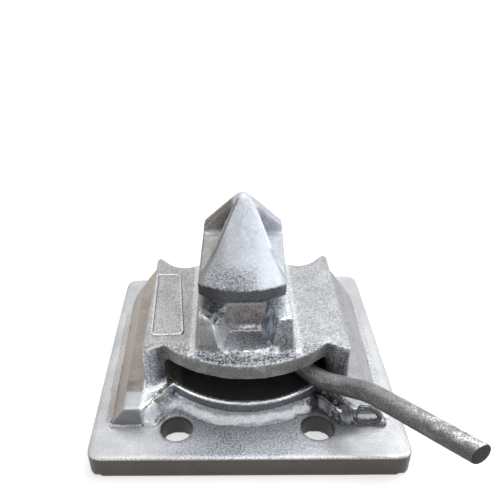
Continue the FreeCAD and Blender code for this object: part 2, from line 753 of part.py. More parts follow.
def placed(x, y, z, axis="0; 0; 1", angle=0):
    """Formula of a placement at a point."""
    return "placement(vector(%s; %s; %s); rotation(vector(%s); %s))" % (
        term(x).text, term(y).text, term(z).text, axis, term(angle).text)


def boolean(kind, label, base, tool):
    made = doc.addObject("Part::" + kind, kind + "_" + label)
    made.Base = base
    made.Tool = tool
    made.Label = label
    return made


def make_lever_weld():
    """Fillet weld round the bar at the boss, ground flat underneath."""
    reach = size("boss_reach")
    level = size("bar_height")
    inner = size("bar_radius") + size("slip_gap")
    leg = size("hub_weld")
    cone = primitive("Cone", "WeldCone", placed(reach, 0, level, "0; 1; 0", 90),
                     Radius1=inner + leg, Radius2=inner + size("slip_gap"), Height=leg)
    hole = primitive("Cylinder", "WeldHole", placed(reach, 0, level, "0; 1; 0", 90),
                     Radius=inner, Height=leg)
    ring = boolean("Cut", "weld_ring", cone, hole)
    low = DETENT_TOP + size("hub_weld_gap")
    room = primitive("Box", "WeldRoom", placed(reach, -(inner + leg), low),
                     Length=leg, Width=(inner + leg) * 2, Height=(inner + leg) * 2)
    weld = boolean("Common", "lever_weld", ring, room)
    weld.setExpression("Placement", turned(size("lever_angle")))
    NODES.append(weld)


def make_hub_cross_pin():
    """Pin through hub and spindle, square to the lever."""
    body = new_body("hub_cross_pin")
    sketch = sketch_on(body, "XZ_Plane")
    circle(sketch, size("cross_pin"), 0, PIN_HEIGHT)
    length = root(size("hub_radius") * size("hub_radius") - size("cross_pin") * size("cross_pin")) * 2
    pad(body, sketch, length, both=True)
    body.setExpression("Placement", turned(size("lever_angle")))


def make_washer(label, under, thick, rim, hole):
    """A flat ring from under, thick high."""
    body = new_body(label)
    sketch = sketch_on(body, "XY_Plane", under)
    circle(sketch, rim)
    circle(sketch, hole)
    pad(body, sketch, thick)
    return body


def make_detent_plate():
    """Lower thrust washer with the ball's two holes and two countersunk screw holes."""
    hole = size("neck_radius") + size("washer_gap")
    body = make_washer("detent_plate", FLANGE_TOP, size("detent_thick"), size("detent_rim"), hole)
    holes = sketch_on(body, "XY_Plane", DETENT_TOP)
    for turn in (BALL_TURN, BALL_TURN - size("lever_swing_angle")):
        circle(holes, size("detent_hole"), size("detent_pitch") * cosine(turn), size("detent_pitch") * sine(turn))
    pocket(body, holes)
    for side in (-1, 1):
        sink = sketch_on(body, "XY_Plane", DETENT_TOP)
        circle(sink, size("screw_shank") + size("detent_thick") + size("slip_gap"), size("screw_pitch") * side, 0)
        foot = sketch_on(body, "XY_Plane", FLANGE_TOP)
        circle(foot, size("screw_shank") + size("slip_gap"), size("screw_pitch") * side, 0)
        loft(body, sink, foot, cut=True)


def make_detent_plate_screws():
    """Two countersunk screws that hold the detent plate."""
    body = new_body("detent_plate_screws")
    body.AllowCompound = True
    pitch = size("screw_pitch")
    shank = sketch_on(body, "XY_Plane", FLANGE_TOP)
    circle(shank, size("screw_shank"), pitch, 0)
    shank_pad = pad(body, shank, size("screw_deep"), down=True)
    foot = sketch_on(body, "XY_Plane", FLANGE_TOP)
    circle(foot, size("screw_shank"), pitch, 0)
    head = sketch_on(body, "XY_Plane", DETENT_TOP)
    circle(head, size("screw_shank") + size("detent_thick"), pitch, 0)
    cone = loft(body, foot, head)
    pattern = body.newObject("PartDesign::PolarPattern", "PolarPattern_screws")
    pattern.Originals = [shank_pad, cone]
    upright = [item for item in body.Origin.OriginFeatures if item.Role == "Z_Axis"][0]
    pattern.Axis = (upright, [""])
    pattern.Angle = 360
    pattern.Occurrences = 2
    body.Tip = pattern
    doc.recompute()


def make_detent_ball():
    """Steel ball in the hub's pocket, raised clear of the detent plate."""
    pitch = size("detent_pitch")
    ball = primitive("Sphere", "DetentBall", placed(pitch * cosine(BALL_TURN), pitch * sine(BALL_TURN), BALL_CENTRE),
                     Radius=size("ball_radius"))
    ball.Label = "detent_ball"
    NODES.append(ball)


def make_detent_spring():
    """Coil spring between the ball and the plug, drawn as swept wire."""
    radius = size("spring_radius").value
    wire = size("spring_wire").value / 2
    ball = size("ball_radius").value
    seat = BALL_CENTRE.value + math.sqrt((ball + wire) ** 2 - radius ** 2)
    top = PLUG_UNDER.value - wire
    coil = Part.makeHelix((top - seat) / size("spring_turns").value, top - seat, radius)
    circle_edge = Part.makeCircle(wire, Vector(radius, 0, 0), Vector(0, 1, 0))
    solid = Part.Wire(coil.Edges).makePipeShell([Part.Wire([circle_edge])], True, True)
    spring = doc.addObject("Part::Feature", "DetentSpring")
    spring.Shape = solid
    pitch = size("detent_pitch")
    place = Vector((pitch * cosine(BALL_TURN)).value, (pitch * sine(BALL_TURN)).value, seat)
    spring.Placement = Placement(place, Rotation())
    spring.Label = "detent_spring"
    NODES.append(spring)


def make_detent_plug():
    """Threaded plug over the detent spring, with a square socket."""
    body = new_body("detent_plug")
    sketch = sketch_on(body, "XY_Plane", PLUG_UNDER)
    circle(sketch, size("plug_radius"), -size("detent_pitch"), 0)
    pad(body, sketch, size("plug_tall"))
    socket = sketch_on(body, "XY_Plane", HUB_TOP)
    half = size("plug_socket")
    middle = -size("detent_pitch")
    draw(socket, [(middle - half, -half), (middle + half, -half), (middle + half, half), (middle - half, half)])
    pocket(body, socket, size("plug_tall") / 2)
    body.setExpression("Placement", turned(size("lever_angle")))


def make_disc_spring(label, top, dished_down):
    """Conical ring. Its inner edge hangs lower or stands higher than its rim by the dish."""
    body = new_body(label)
    inner = size("neck_radius") + size("washer_gap")
    rim = size("disc_rim")
    dish = size("disc_dish")
    rim_top = top if dished_down else top - dish
    inner_top = top - dish if dished_down else top
    thick = size("disc_thick")
    sketch = sketch_on(body, "XZ_Plane")
    draw(sketch, [(inner, inner_top - thick), (rim, rim_top - thick), (rim, rim_top), (inner, inner_top)])
    revolve(body, sketch)


def make_castle_nut():
    """Hexagon nut with six slots in its underside."""
    body = new_body("castle_nut")
    flat = size("nut_flats") / 2
    corner = flat / cosine(Term(30))
    sketch = sketch_on(body, "XY_Plane", NUT_UNDER)
    draw(sketch, [
        (corner, 0),
        (corner / 2, flat),
        (-(corner / 2), flat),
        (-corner, 0),
        (-(corner / 2), -flat),
        (corner / 2, -flat),
    ])
    pad(body, sketch, size("nut_tall"))
    bore = sketch_on(body, "XY_Plane", NUT_TOP)
    circle(bore, size("thread_radius") + size("slip_gap"))
    pocket(body, bore)
    slot = size("nut_slot")
    for turn in (0, 60, 120):
        cut = sketch_on(body, "XZ_Plane", turn=Term(90 + turn))
        low = NUT_UNDER - size("thread_beyond")
        high = NUT_UNDER + size("nut_slot_deep")
        draw(cut, [(-slot, low), (slot, low), (slot, high), (-slot, high)])
        pocket(body, cut, corner * 3, both=True)
    body.setExpression("Placement", turned(size("head_angle")))


def make_split_pin():
    """Split pin through nut and spindle, with its eye at one end."""
    half = size("split_pin_half")
    shank = primitive("Cylinder", "PinShank", placed(-half, 0, SPLIT_PIN_HEIGHT, "0; 1; 0", 90),
                      Radius=size("split_pin"), Height=half * 2)
    eye_place = placed(half + size("split_eye"), 0, SPLIT_PIN_HEIGHT)
    eye = primitive("Torus", "PinEye", eye_place, Radius1=size("split_eye"), Radius2=size("split_pin") / 2)
    pin = boolean("Fuse", "split_pin", shank, eye)
    pin.setExpression("Placement", turned(size("head_angle")))
    NODES.append(pin)


def make_lobe_bead(label, lobe, start, sweep):
    """Weld bead along a lobe of the flange, from a start angle through a sweep."""
    body = new_body(label)
    sketch = sketch_on(body, "XZ_Plane")
    draw(sketch, [
        (lobe, PLATE_TOP),
        (lobe + size("weld_front_foot"), PLATE_TOP),
        (lobe, PLATE_TOP + size("weld_front_tall")),
    ])
    revolve(body, sketch, sweep)
    body.setExpression("Placement", turned(start))


def make_straight_bead(label, start, end, lean=Term(0)):
    """Weld bead on the plate from start to end, on the right of the way there.

    lean is how far the wall behind the bead moves away from it in one unit of height.
    """
    body = new_body(label)
    run_x = end[0] - start[0]
    run_y = end[1] - start[1]
    length = distance(run_x, run_y)
    stop = size("weld_stop")
    sketch = sketch_on(body, "YZ_Plane", stop)
    draw(sketch, [
        (0, 0),
        (-size("weld_foot"), 0),
        (lean * size("weld_tall"), size("weld_tall")),
    ])
    pad(body, sketch, length - stop * 2)
    turn = Term(math.degrees(math.atan2(run_y.value, run_x.value)), "atan2(%s; %s)" % (run_y.text, run_x.text))
    body.setExpression("Placement", placed(start[0], start[1], PLATE_TOP, "0; 0; 1", turn))


def make_beads():
    """The straight beads round the dovetail flange."""
    notch_x = size("flange_lobe") * cosine(size("flange_notch_angle"))
    notch_y = -(size("flange_lobe") * sine(size("flange_notch_angle")))
    inner = size("wing_inner")
    front = -size("wing_front")
    foot = size("dovetail_foot")
    back = foot + size("dovetail_flare")
    corner = back - size("wing_corner_in")
    turn = size("wing_turn")
    rear = size("wing_back")
    side = size("scallop_side")
    lean = size("dovetail_lean") / size("flange_thick")
    make_straight_bead("weld_notch_right", (notch_x, notch_y), (inner, front))
    make_straight_bead("weld_end_right", (inner, front), (foot, front))
    make_straight_bead("weld_side_right", (foot, front), (back, turn), lean)
    make_straight_bead("weld_tail_right", (corner, rear), (side, rear))
    make_straight_bead("weld_tail_left", (-side, rear), (-corner, rear))
    make_straight_bead("weld_side_left", (-back, turn), (-foot, front), lean)
    make_straight_bead("weld_end_left", (-foot, front), (-inner, front))
    make_straight_bead("weld_notch_left", (-inner, front), (-notch_x, notch_y))


def make_all():
    loose = size("neck_radius") + size("washer_gap")
    make_base_plate()
    make_dovetail_body()
    make_lock_cone()
    make_lever_hub()
    make_lever_bar()
    make_lever_weld()
    make_hub_cross_pin()
    make_washer("upper_thrust_washer", HUB_TOP, size("upper_washer"), size("upper_washer_rim"), loose)
    make_detent_plate()
    make_detent_plate_screws()
    make_detent_ball()
    make_detent_spring()
    make_detent_plug()
    make_washer("spring_seat_washer", SEAT_WASHER_UNDER, size("seat_washer"), size("seat_washer_rim"), loose)
    make_disc_spring("disc_spring_upper", SEAT_WASHER_UNDER, True)
    make_disc_spring("disc_spring_lower", DISC_MIDDLE, False)
    make_washer("nut_washer", NUT_TOP, size("nut_washer"), size("nut_washer_rim"),
                size("thread_radius") + size("washer_gap"))
    make_castle_nut()
    make_split_pin()
    front_angle = size("weld_front_angle")
    back_angle = size("weld_back_angle")
    half_turn = Term(180)
    make_lobe_bead("weld_front", size("flange_lobe"), front_angle - half_turn, half_turn - front_angle * 2)
    make_lobe_bead("weld_back", size("flange_back_lobe"), back_angle, half_turn - back_angle * 2)
    make_beads()


def check_document():
    """Stop if an object failed or a node's shape isn't a valid solid."""
    doc.recompute()
    for item in doc.Objects:
        if "Invalid" in item.State or "Error" in item.State:
            raise RuntimeError("%s failed: %s" % (item.Label, item.State))
    for node in NODES:
        shape = node.Shape
        if shape.isNull() or not shape.isValid() or not shape.Solids:
            raise RuntimeError("%s has no valid solid" % node.Label)


def write_nodes():
    """Write each node to its own file."""
    os.makedirs("parts", exist_ok=True)
    for node in NODES:
        node.Shape.exportStep("parts/%s.step" % node.Label)
        print("%-22s solids %d  volume %.1f mm3" % (node.Label, len(node.Shape.Solids), node.Shape.Volume))


make_all()
check_document()
write_nodes()
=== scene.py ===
"""Looks of a container twistlock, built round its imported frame.

A square base plate carries a sand-cast dovetail housing that is welded down all round. A forged
locking head stands on its spindle above the housing's collar, and a bent round bar turns it. All of
it is hot-dip galvanised. Lengths are millimetres until a mesh is written, in metres.
"""

from __future__ import annotations

import json
import logging
import math
from dataclasses import dataclass
from enum import Enum

import bmesh
import bpy
import numpy as np
from mathutils import Matrix
from mathutils import Vector

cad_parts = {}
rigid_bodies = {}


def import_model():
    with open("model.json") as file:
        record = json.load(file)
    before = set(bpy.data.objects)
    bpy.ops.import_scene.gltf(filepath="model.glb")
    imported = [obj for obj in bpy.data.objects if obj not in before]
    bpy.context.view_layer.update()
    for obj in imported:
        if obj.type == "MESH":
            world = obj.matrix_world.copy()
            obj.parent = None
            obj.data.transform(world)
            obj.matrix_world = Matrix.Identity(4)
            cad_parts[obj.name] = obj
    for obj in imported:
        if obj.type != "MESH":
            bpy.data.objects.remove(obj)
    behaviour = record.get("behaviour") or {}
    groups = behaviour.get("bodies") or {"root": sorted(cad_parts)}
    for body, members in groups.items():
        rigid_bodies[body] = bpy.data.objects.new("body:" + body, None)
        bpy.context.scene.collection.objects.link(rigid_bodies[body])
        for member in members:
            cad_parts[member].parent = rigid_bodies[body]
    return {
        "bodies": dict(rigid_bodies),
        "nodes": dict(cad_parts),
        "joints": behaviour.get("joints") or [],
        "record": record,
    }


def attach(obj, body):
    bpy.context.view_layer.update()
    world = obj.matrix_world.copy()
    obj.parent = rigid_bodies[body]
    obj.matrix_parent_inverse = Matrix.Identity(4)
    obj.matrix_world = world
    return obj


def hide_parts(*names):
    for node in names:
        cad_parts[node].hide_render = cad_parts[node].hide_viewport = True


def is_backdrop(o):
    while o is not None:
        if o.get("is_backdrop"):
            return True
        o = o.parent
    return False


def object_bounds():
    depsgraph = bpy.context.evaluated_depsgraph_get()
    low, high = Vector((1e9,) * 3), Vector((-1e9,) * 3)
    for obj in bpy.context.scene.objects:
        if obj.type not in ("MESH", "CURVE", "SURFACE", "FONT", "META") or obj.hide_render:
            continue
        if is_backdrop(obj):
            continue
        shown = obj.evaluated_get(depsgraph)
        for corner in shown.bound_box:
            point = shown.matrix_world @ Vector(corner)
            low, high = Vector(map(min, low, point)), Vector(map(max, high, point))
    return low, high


LOG = logging.getLogger("twistlock")
METRES = 0.001
FULL_TURN = 2 * math.pi
PLATE_TOP = 16.0

Colour = tuple[float, float, float]
Limit = tuple[float, ...]
Pieces = list[bpy.types.Object]


class Body(Enum):
    """The bodies of the frame that new pieces ride on."""

    HOUSING = "housing"
    LOCK = "lock"


class Slot(Enum):
    """The record's material slots."""

    PLATE = "galvanised_plate"
    CASTING = "galvanised_casting"
    FORGING = "galvanised_forging"
    LEVER = "lever_steel"
    WELD = "weld_metal"


# Noise on points


def cell_numbers(cells: np.ndarray, seed: int) -> np.ndarray:
    """Numbers from -1 to 1 that look random, one for each whole-number cell.

    The three cell numbers and the seed are each multiplied by a large odd number and added, and the
    high bits are folded down on the low ones twice.

    Args:
        cells: Whole numbers, the last axis x, y, z.
        seed: Changes all the numbers.

    Returns:
        One number for each cell.
    """
    whole = cells.astype(np.int64)
    mixed = whole[..., 0] * 374761393 + whole[..., 1] * 668265263 + whole[..., 2] * 1440662683
    mixed = (mixed + seed * 974711) & 0x7FFFFFFF
    mixed = ((mixed ^ (mixed >> 13)) * 1274126177) & 0x7FFFFFFF
    mixed = ((mixed ^ (mixed >> 16)) * 362437) & 0x7FFFFFFF
    return ((mixed >> 7) & 0xFFFF) / 32767.5 - 1.0


def noise(points: np.ndarray, grain: float, seed: int) -> np.ndarray:
    """Smooth noise from -1 to 1 at points: the eight cell corners mixed by eased distances.

    Args:
        points: Places, the last axis x, y, z.
        grain: Size of a cell, in the points' unit.
        seed: Changes the pattern.

    Returns:
        One number for each point.
    """
    scaled = points / grain + 1000.0
    cell = np.floor(scaled)
    ease = eased(scaled - cell, 0.0, 1.0)
    total = np.zeros(points.shape[:-1])
    for corner in range(8):
        step = np.array([corner & 1, (corner >> 1) & 1, (corner >> 2) & 1])
        weight = np.prod(np.where(step == 1, ease, 1.0 - ease), axis=-1)
        total += weight * cell_numbers(cell + step, seed)
    return total


def layered(points: np.ndarray, grain: float, seed: int, layers: int = 3) -> np.ndarray:
    """Noise in layers, each with half the grain and half the height of the one before.

    Args:
        points: Places, the last axis x, y, z.
        grain: Size of the largest cells.
        seed: Changes the pattern.
        layers: How many layers are added.

    Returns:
        One number for each point, about -1 to 1.
    """
    total = np.zeros(points.shape[:-1])
    for layer in range(layers):
        total += noise(points, grain / 2**layer, seed + layer) / 2**layer
    return total / 1.4


def eased(values: np.ndarray, low: float, high: float) -> np.ndarray:
    """0 at low and before it, 1 at high and past it, and a smooth step between, rising or falling."""
    part = np.clip((values - low) / (high - low), 0.0, 1.0)
    return part * part * (3.0 - 2.0 * part)


# Meshes


def put_in_scene(name: str, data: bpy.types.ID) -> bpy.types.Object:
    """A new object in the scene, at the origin.

    Args:
        name: Its name.
        data: Its mesh, camera or lamp.

    Returns:
        The object.
    """
    made = bpy.data.objects.new(name, data)
    bpy.context.scene.collection.objects.link(made)
    return made


def make_mesh(name: str, points: np.ndarray, faces: list[np.ndarray]) -> bpy.types.Object:
    """A mesh object at the origin from points in millimetres, with its faces turned outwards.

    Args:
        name: Name of the object and its mesh.
        points: One row for each vertex.
        faces: Arrays of vertex numbers, one row for each face.

    Returns:
        The new object.
    """
    mesh = bpy.data.meshes.new(name)
    rows = [row for block in faces for row in block.tolist()]
    mesh.from_pydata((points * METRES).tolist(), [], rows)
    work = bmesh.new()
    work.from_mesh(mesh)
    bmesh.ops.recalc_face_normals(work, faces=work.faces)
    work.to_mesh(mesh)
    work.free()
    return put_in_scene(name, mesh)


def closed_tubes(name: str, rings: np.ndarray) -> bpy.types.Object:
    """One mesh of closed skins over rings of points.

    Each ring is joined to the next by four-sided faces, and the first and last ring to a point in
    their middle by a fan.

    Args:
        name: Name of the piece.
        rings: Points in millimetres, as tube, ring, place on the ring, x y z.

    Returns:
        The new object.
    """
    tubes, count, around = rings.shape[:3]
    middles = np.stack([rings[:, 0].mean(axis=1), rings[:, -1].mean(axis=1)], axis=1)
    points = np.concatenate([rings.reshape(tubes, -1, 3), middles], axis=1)
    each = points.shape[1]
    row, here = np.meshgrid(np.arange(count - 1), np.arange(around), indexing="ij")
    low, following = row * around, (here + 1) % around
    high = low + around
    sides = np.stack([low + here, low + following, high + following, high + here], axis=-1)
    first, second, last = here[0], following[0], (count - 1) * around
    first_fan = np.stack([second, first, np.full(around, each - 2)], axis=-1)
    last_fan = np.stack([last + first, last + second, np.full(around, each - 1)], axis=-1)
    shift = (np.arange(tubes) * each)[:, None, None]
    faces = [(block[None] + shift).reshape(-1, block.shape[1])
             for block in (sides.reshape(-1, 4), first_fan, last_fan)]
    return make_mesh(name, points.reshape(-1, 3), faces)


def swept_wire(line: np.ndarray, radius: np.ndarray, around: int = 14, squash: float = 1.0) -> np.ndarray:
    """Round cross-sections along a line in space.

    The sections lie square to the line. Their upward half-axis is the part of the z axis that is
    square to the line, or of the y axis where the line is steep.

    Args:
        line: Points of the line, one row each.
        radius: Radius at each point.
        around: Points on a section.
        squash: Factor on the sections' upward half-axis.

    Returns:
        Points as ring, place on the ring, x y z.
    """
    along = np.gradient(line, axis=0)
    along /= np.linalg.norm(along, axis=1, keepdims=True)
    steep = np.abs(along[:, 2:]) > 0.8
    guide = np.where(steep, np.array([[0.0, -1.0, 0.0]]), np.array([[0.0, 0.0, 1.0]]))
    side = np.cross(along, guide)
    side /= np.linalg.norm(side, axis=1, keepdims=True)
    turn = np.linspace(0.0, FULL_TURN, around, endpoint=False)
    flat = np.cos(turn)[None, :, None] * side[:, None, :]
    tall = np.sin(turn)[None, :, None] * np.cross(side, along)[:, None, :] * squash
    return line[:, None, :] + (flat + tall) * radius[:, None, None]


def even_steps(corners: np.ndarray, step: float, more: int = 0) -> tuple[np.ndarray, np.ndarray]:
    """Points at even steps along straight legs between corners.

    Args:
        corners: One row for each corner.
        step: About how far apart the points lie.
        more: Points beyond one for each whole step.

    Returns:
        The points, and their lengths along the line.
    """
    marks = np.concatenate([[0.0], np.cumsum(np.linalg.norm(np.diff(corners, axis=0), axis=1))])
    length = np.linspace(0.0, marks[-1], max(8, int(marks[-1] / step) + more))
    return np.stack([np.interp(length, marks, column) for column in corners.T], axis=1), length


def walked(corners: list[tuple[float, float, float]], step: float, rounds: int) -> np.ndarray:
    """Even steps between corners, with the corners eased by averaging for some rounds.

    Args:
        corners: The corners in space.
        step: About how far apart the points lie.
        rounds: How often each point moves half-way to the middle of its neighbours.

    Returns:
        One row for each point.
    """
    line, _ = even_steps(np.array(corners), step, 1)
    for _ in range(rounds):
        line[1:-1] = (line[:-2] + line[2:]) / 4 + line[1:-1] / 2
    return line


def arc_line(radius: float, start: float, end: float, steps: int = 60) -> np.ndarray:
    """Points on a circle round the origin from one angle to another, in degrees."""
    angle = np.radians(np.linspace(start, end, steps))
    return np.stack([radius * np.cos(angle), radius * np.sin(angle)], axis=1)


class Skin:
    """The vertices of a piece's mesh as arrays in millimetres, to be worked on and put back."""

    def __init__(self, piece: bpy.types.Object) -> None:
        """Reads the piece's vertices and edges.

        Args:
            piece: The mesh object.
        """
        self.mesh = piece.data
        points = np.empty(len(self.mesh.vertices) * 3)
        self.mesh.vertices.foreach_get("co", points)
        self.points = points.reshape(-1, 3) / METRES
        edges = np.empty(len(self.mesh.edges) * 2, np.int64)
        self.mesh.edges.foreach_get("vertices", edges)
        self.edges = edges.reshape(-1, 2)
        self.degree = np.maximum(np.bincount(edges, minlength=len(self.points)), 1.0)

    def put_back(self) -> None:
        """Writes the moved vertices into the mesh."""
        self.mesh.vertices.foreach_set("co", (self.points * METRES).ravel())
        self.mesh.update()

    def normals(self) -> np.ndarray:
        """Puts the vertices back and reads their outward directions.

        Returns:
            One direction for each vertex.
        """
        self.put_back()
        found = np.empty(len(self.points) * 3)
        self.mesh.vertex_normals.foreach_get("vector", found)
        return found.reshape(-1, 3)

    def averaged(self, values: np.ndarray) -> np.ndarray:
        """Each vertex's mean of its neighbours' values.

        Args:
            values: One row for each vertex.

        Returns:
            The means, in the same form.
        """
        total = np.empty_like(values)
        one, two = self.edges.T
        for axis in range(values.shape[1]):
            column = np.bincount(one, values[two, axis], len(values))
            column += np.bincount(two, values[one, axis], len(values))
            total[:, axis] = column / self.degree
        return total

    def smooth(self, rounds: int, weight: np.ndarray) -> None:
        """Moves every vertex half-way to the mean of its neighbours, again and again.

        Args:
            rounds: How often.
            weight: Share of the move for each vertex.
        """
        for _ in range(rounds):
            self.points += (self.averaged(self.points) - self.points) * 0.5 * weight[:, None]

    def fair(self, rounds: int) -> None:
        """Smooths without shrinking: a step towards the neighbours' mean, then a longer one back.

        Args:
            rounds: How often.
        """
        for _ in range(rounds):
            self.points += (self.averaged(self.points) - self.points) * 0.5
            self.points -= (self.averaged(self.points) - self.points) * 0.52

    def stand_out(self, rounds: int) -> np.ndarray:
        """How far each vertex stands out of its neighbourhood, in millimetres, hollows negative.

        The positions are averaged for some rounds, and the way from there to the real position is
        measured along the normal.

        Args:
            rounds: Width of the neighbourhood.

        Returns:
            One length for each vertex.
        """
        normals = self.normals()
        mean = self.points
        for _ in range(rounds):
            mean = (self.averaged(mean) + mean) / 2
        return np.sum((self.points - mean) * normals, axis=1)

    def push(self, along_normal: np.ndarray) -> None:
        """Moves the vertices along their normals by a length each."""
        self.points += self.normals() * along_normal[:, None]

    def paint(self, brush: "Brush") -> None:
        """Keeps a brush's colours, grit and gloss on the mesh for the finish to read.

        Args:
            brush: The brush.
        """
        colours = np.concatenate([brush.tone, np.ones((len(brush.tone), 1))], axis=1)
        for name, kind, key, values in (("tone", "FLOAT_COLOR", "color", colours),
                                        ("grit", "FLOAT", "value", brush.grit),
                                        ("gloss", "FLOAT", "value", brush.gloss)):
            layer = self.mesh.attributes.new(name, kind, "POINT")
            layer.data.foreach_set(key, values.astype(np.float32).ravel())


def skinned_copy(node: bpy.types.Object, name: str, voxel: float) -> bpy.types.Object:
    """A copy of a node as one even skin: merged, then remeshed in cubes of one size.

    Args:
        node: The frame's own object, which is left as it is.
        name: Name of the copy.
        voxel: Size of a cube in millimetres.

    Returns:
        The new object, at the origin.
    """
    mesh = node.data.copy()
    work = bmesh.new()
    work.from_mesh(mesh)
    bmesh.ops.remove_doubles(work, verts=work.verts, dist=1e-6)
    work.to_mesh(mesh)
    work.free()
    merged = put_in_scene(name + "_merged", mesh)
    modifier = merged.modifiers.new("skin", "REMESH")
    modifier.mode = "VOXEL"
    modifier.voxel_size = voxel * METRES
    modifier.adaptivity = 0.0
    graph = bpy.context.evaluated_depsgraph_get()
    even = bpy.data.meshes.new_from_object(merged.evaluated_get(graph))
    bpy.data.objects.remove(merged)
    bpy.data.meshes.remove(mesh)
    even.name = name
    return put_in_scene(name, even)


def dress(piece: bpy.types.Object, material: bpy.types.Material, slot: Slot, body: Body,
          node: str | None = None) -> None:
    """Gives a piece its one material and smooth shading, hides the node that it takes the place of, and puts it
    on its body.

    Args:
        piece: The piece.
        material: Its material.
        slot: Not used.
        body: The body that it rides on.
        node: The frame's node that it takes the place of.
    """
    piece.data.shade_smooth()
    piece.data.materials.clear()
    piece.data.materials.append(material)
    if node:
        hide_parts(node)
    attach(piece, body.value)


# Materials


class Nodes:
    """Builder of the node tree of one material or world."""

    def __init__(self, owner: bpy.types.ID, output: str = "OutputMaterial") -> None:
        """Empties the tree and gives it an output.

        Args:
            owner: The material or world.
            output: Kind of the output node.
        """
        owner.use_nodes = True
        self.owner = owner
        self.tree = owner.node_tree
        self.tree.nodes.clear()
        self.output = self.add(output)

    def add(self, kind: str, values: dict | None = None, **settings: object) -> bpy.types.Node:
        """Adds a node.

        Args:
            kind: Blender's name of the node, without its first word.
            values: Socket values or the sockets that feed them, by the sockets' names.
            **settings: The node's own settings.

        Returns:
            The node.
        """
        made = self.tree.nodes.new("ShaderNode" + kind)
        for setting, value in settings.items():
            setattr(made, setting, value)
        for name, value in (values or {}).items():
            socket = made.inputs[name]
            if isinstance(value, bpy.types.NodeSocket):
                self.tree.links.new(value, socket)
            elif isinstance(value, tuple) and socket.type == "RGBA":
                socket.default_value = (*value, 1.0)
            else:
                socket.default_value = value
        return made

    def maths(self, operation: str, first: object, second: object,
              clamp: bool = False) -> bpy.types.NodeSocket:
        """Result of a Math node on two numbers or sockets."""
        return self.add("Math", {0: first, 1: second}, operation=operation, use_clamp=clamp).outputs[0]

    def ramp(self, value: bpy.types.NodeSocket, low: float, high: float, start: float = 0.0,
             end: float = 1.0) -> bpy.types.NodeSocket:
        """A number carried smoothly from low to high over to start to end, and held outside it."""
        return self.add("MapRange", {"Value": value, "From Min": low, "From Max": high, "To Min": start,
                                     "To Max": end}, interpolation_type="SMOOTHSTEP").outputs[0]

    def places(self) -> bpy.types.NodeSocket:
        """Object coordinates."""
        return self.add("TexCoord").outputs["Object"]

    def grain(self, scale: float, detail: float, rough: float, twist: float = 0.0) -> bpy.types.NodeSocket:
        """Noise on object coordinates, about 0.3 to 0.7.

        Args:
            scale: Cells in a metre.
            detail: Layers of finer noise.
            rough: Strength of the finer layers.
            twist: Distortion.

        Returns:
            The noise.
        """
        return self.add("TexNoise", {"Vector": self.places(), "Scale": scale, "Detail": detail,
                                     "Roughness": rough, "Distortion": twist}).outputs[0]

    def attribute(self, name: str, output: str = "Fac") -> bpy.types.NodeSocket:
        """A number or colour kept on the mesh."""
        return self.add("Attribute", attribute_name=name).outputs[output]

    def bump(self, height: bpy.types.NodeSocket, strength: object, depth: float,
             **under: bpy.types.NodeSocket) -> bpy.types.NodeSocket:
        """Shading normal from a height whose 1 stands for a depth in millimetres, laid over another."""
        return self.add("Bump", {"Height": height, "Strength": strength, "Distance": depth * METRES,
                                 **under}).outputs[0]

    def end(self, shader: bpy.types.Node) -> bpy.types.ID:
        """Links the last shader to the output.

        Args:
            shader: The node whose first output is the surface.

        Returns:
            The material or world.
        """
        self.tree.links.new(shader.outputs[0], self.output.inputs[0])
        return self.owner

    def seen_directly(self) -> bpy.types.NodeSocket:
        """1 for what the camera sees, and what gloss and clear parts show of the surroundings.

        Returns:
            The sum of the three kinds of ray, held at 1.
        """
        path = self.add("LightPath")
        either = self.maths("ADD", path.outputs["Is Camera Ray"], path.outputs["Is Glossy Ray"])
        return self.maths("ADD", either, path.outputs["Is Transmission Ray"], clamp=True)


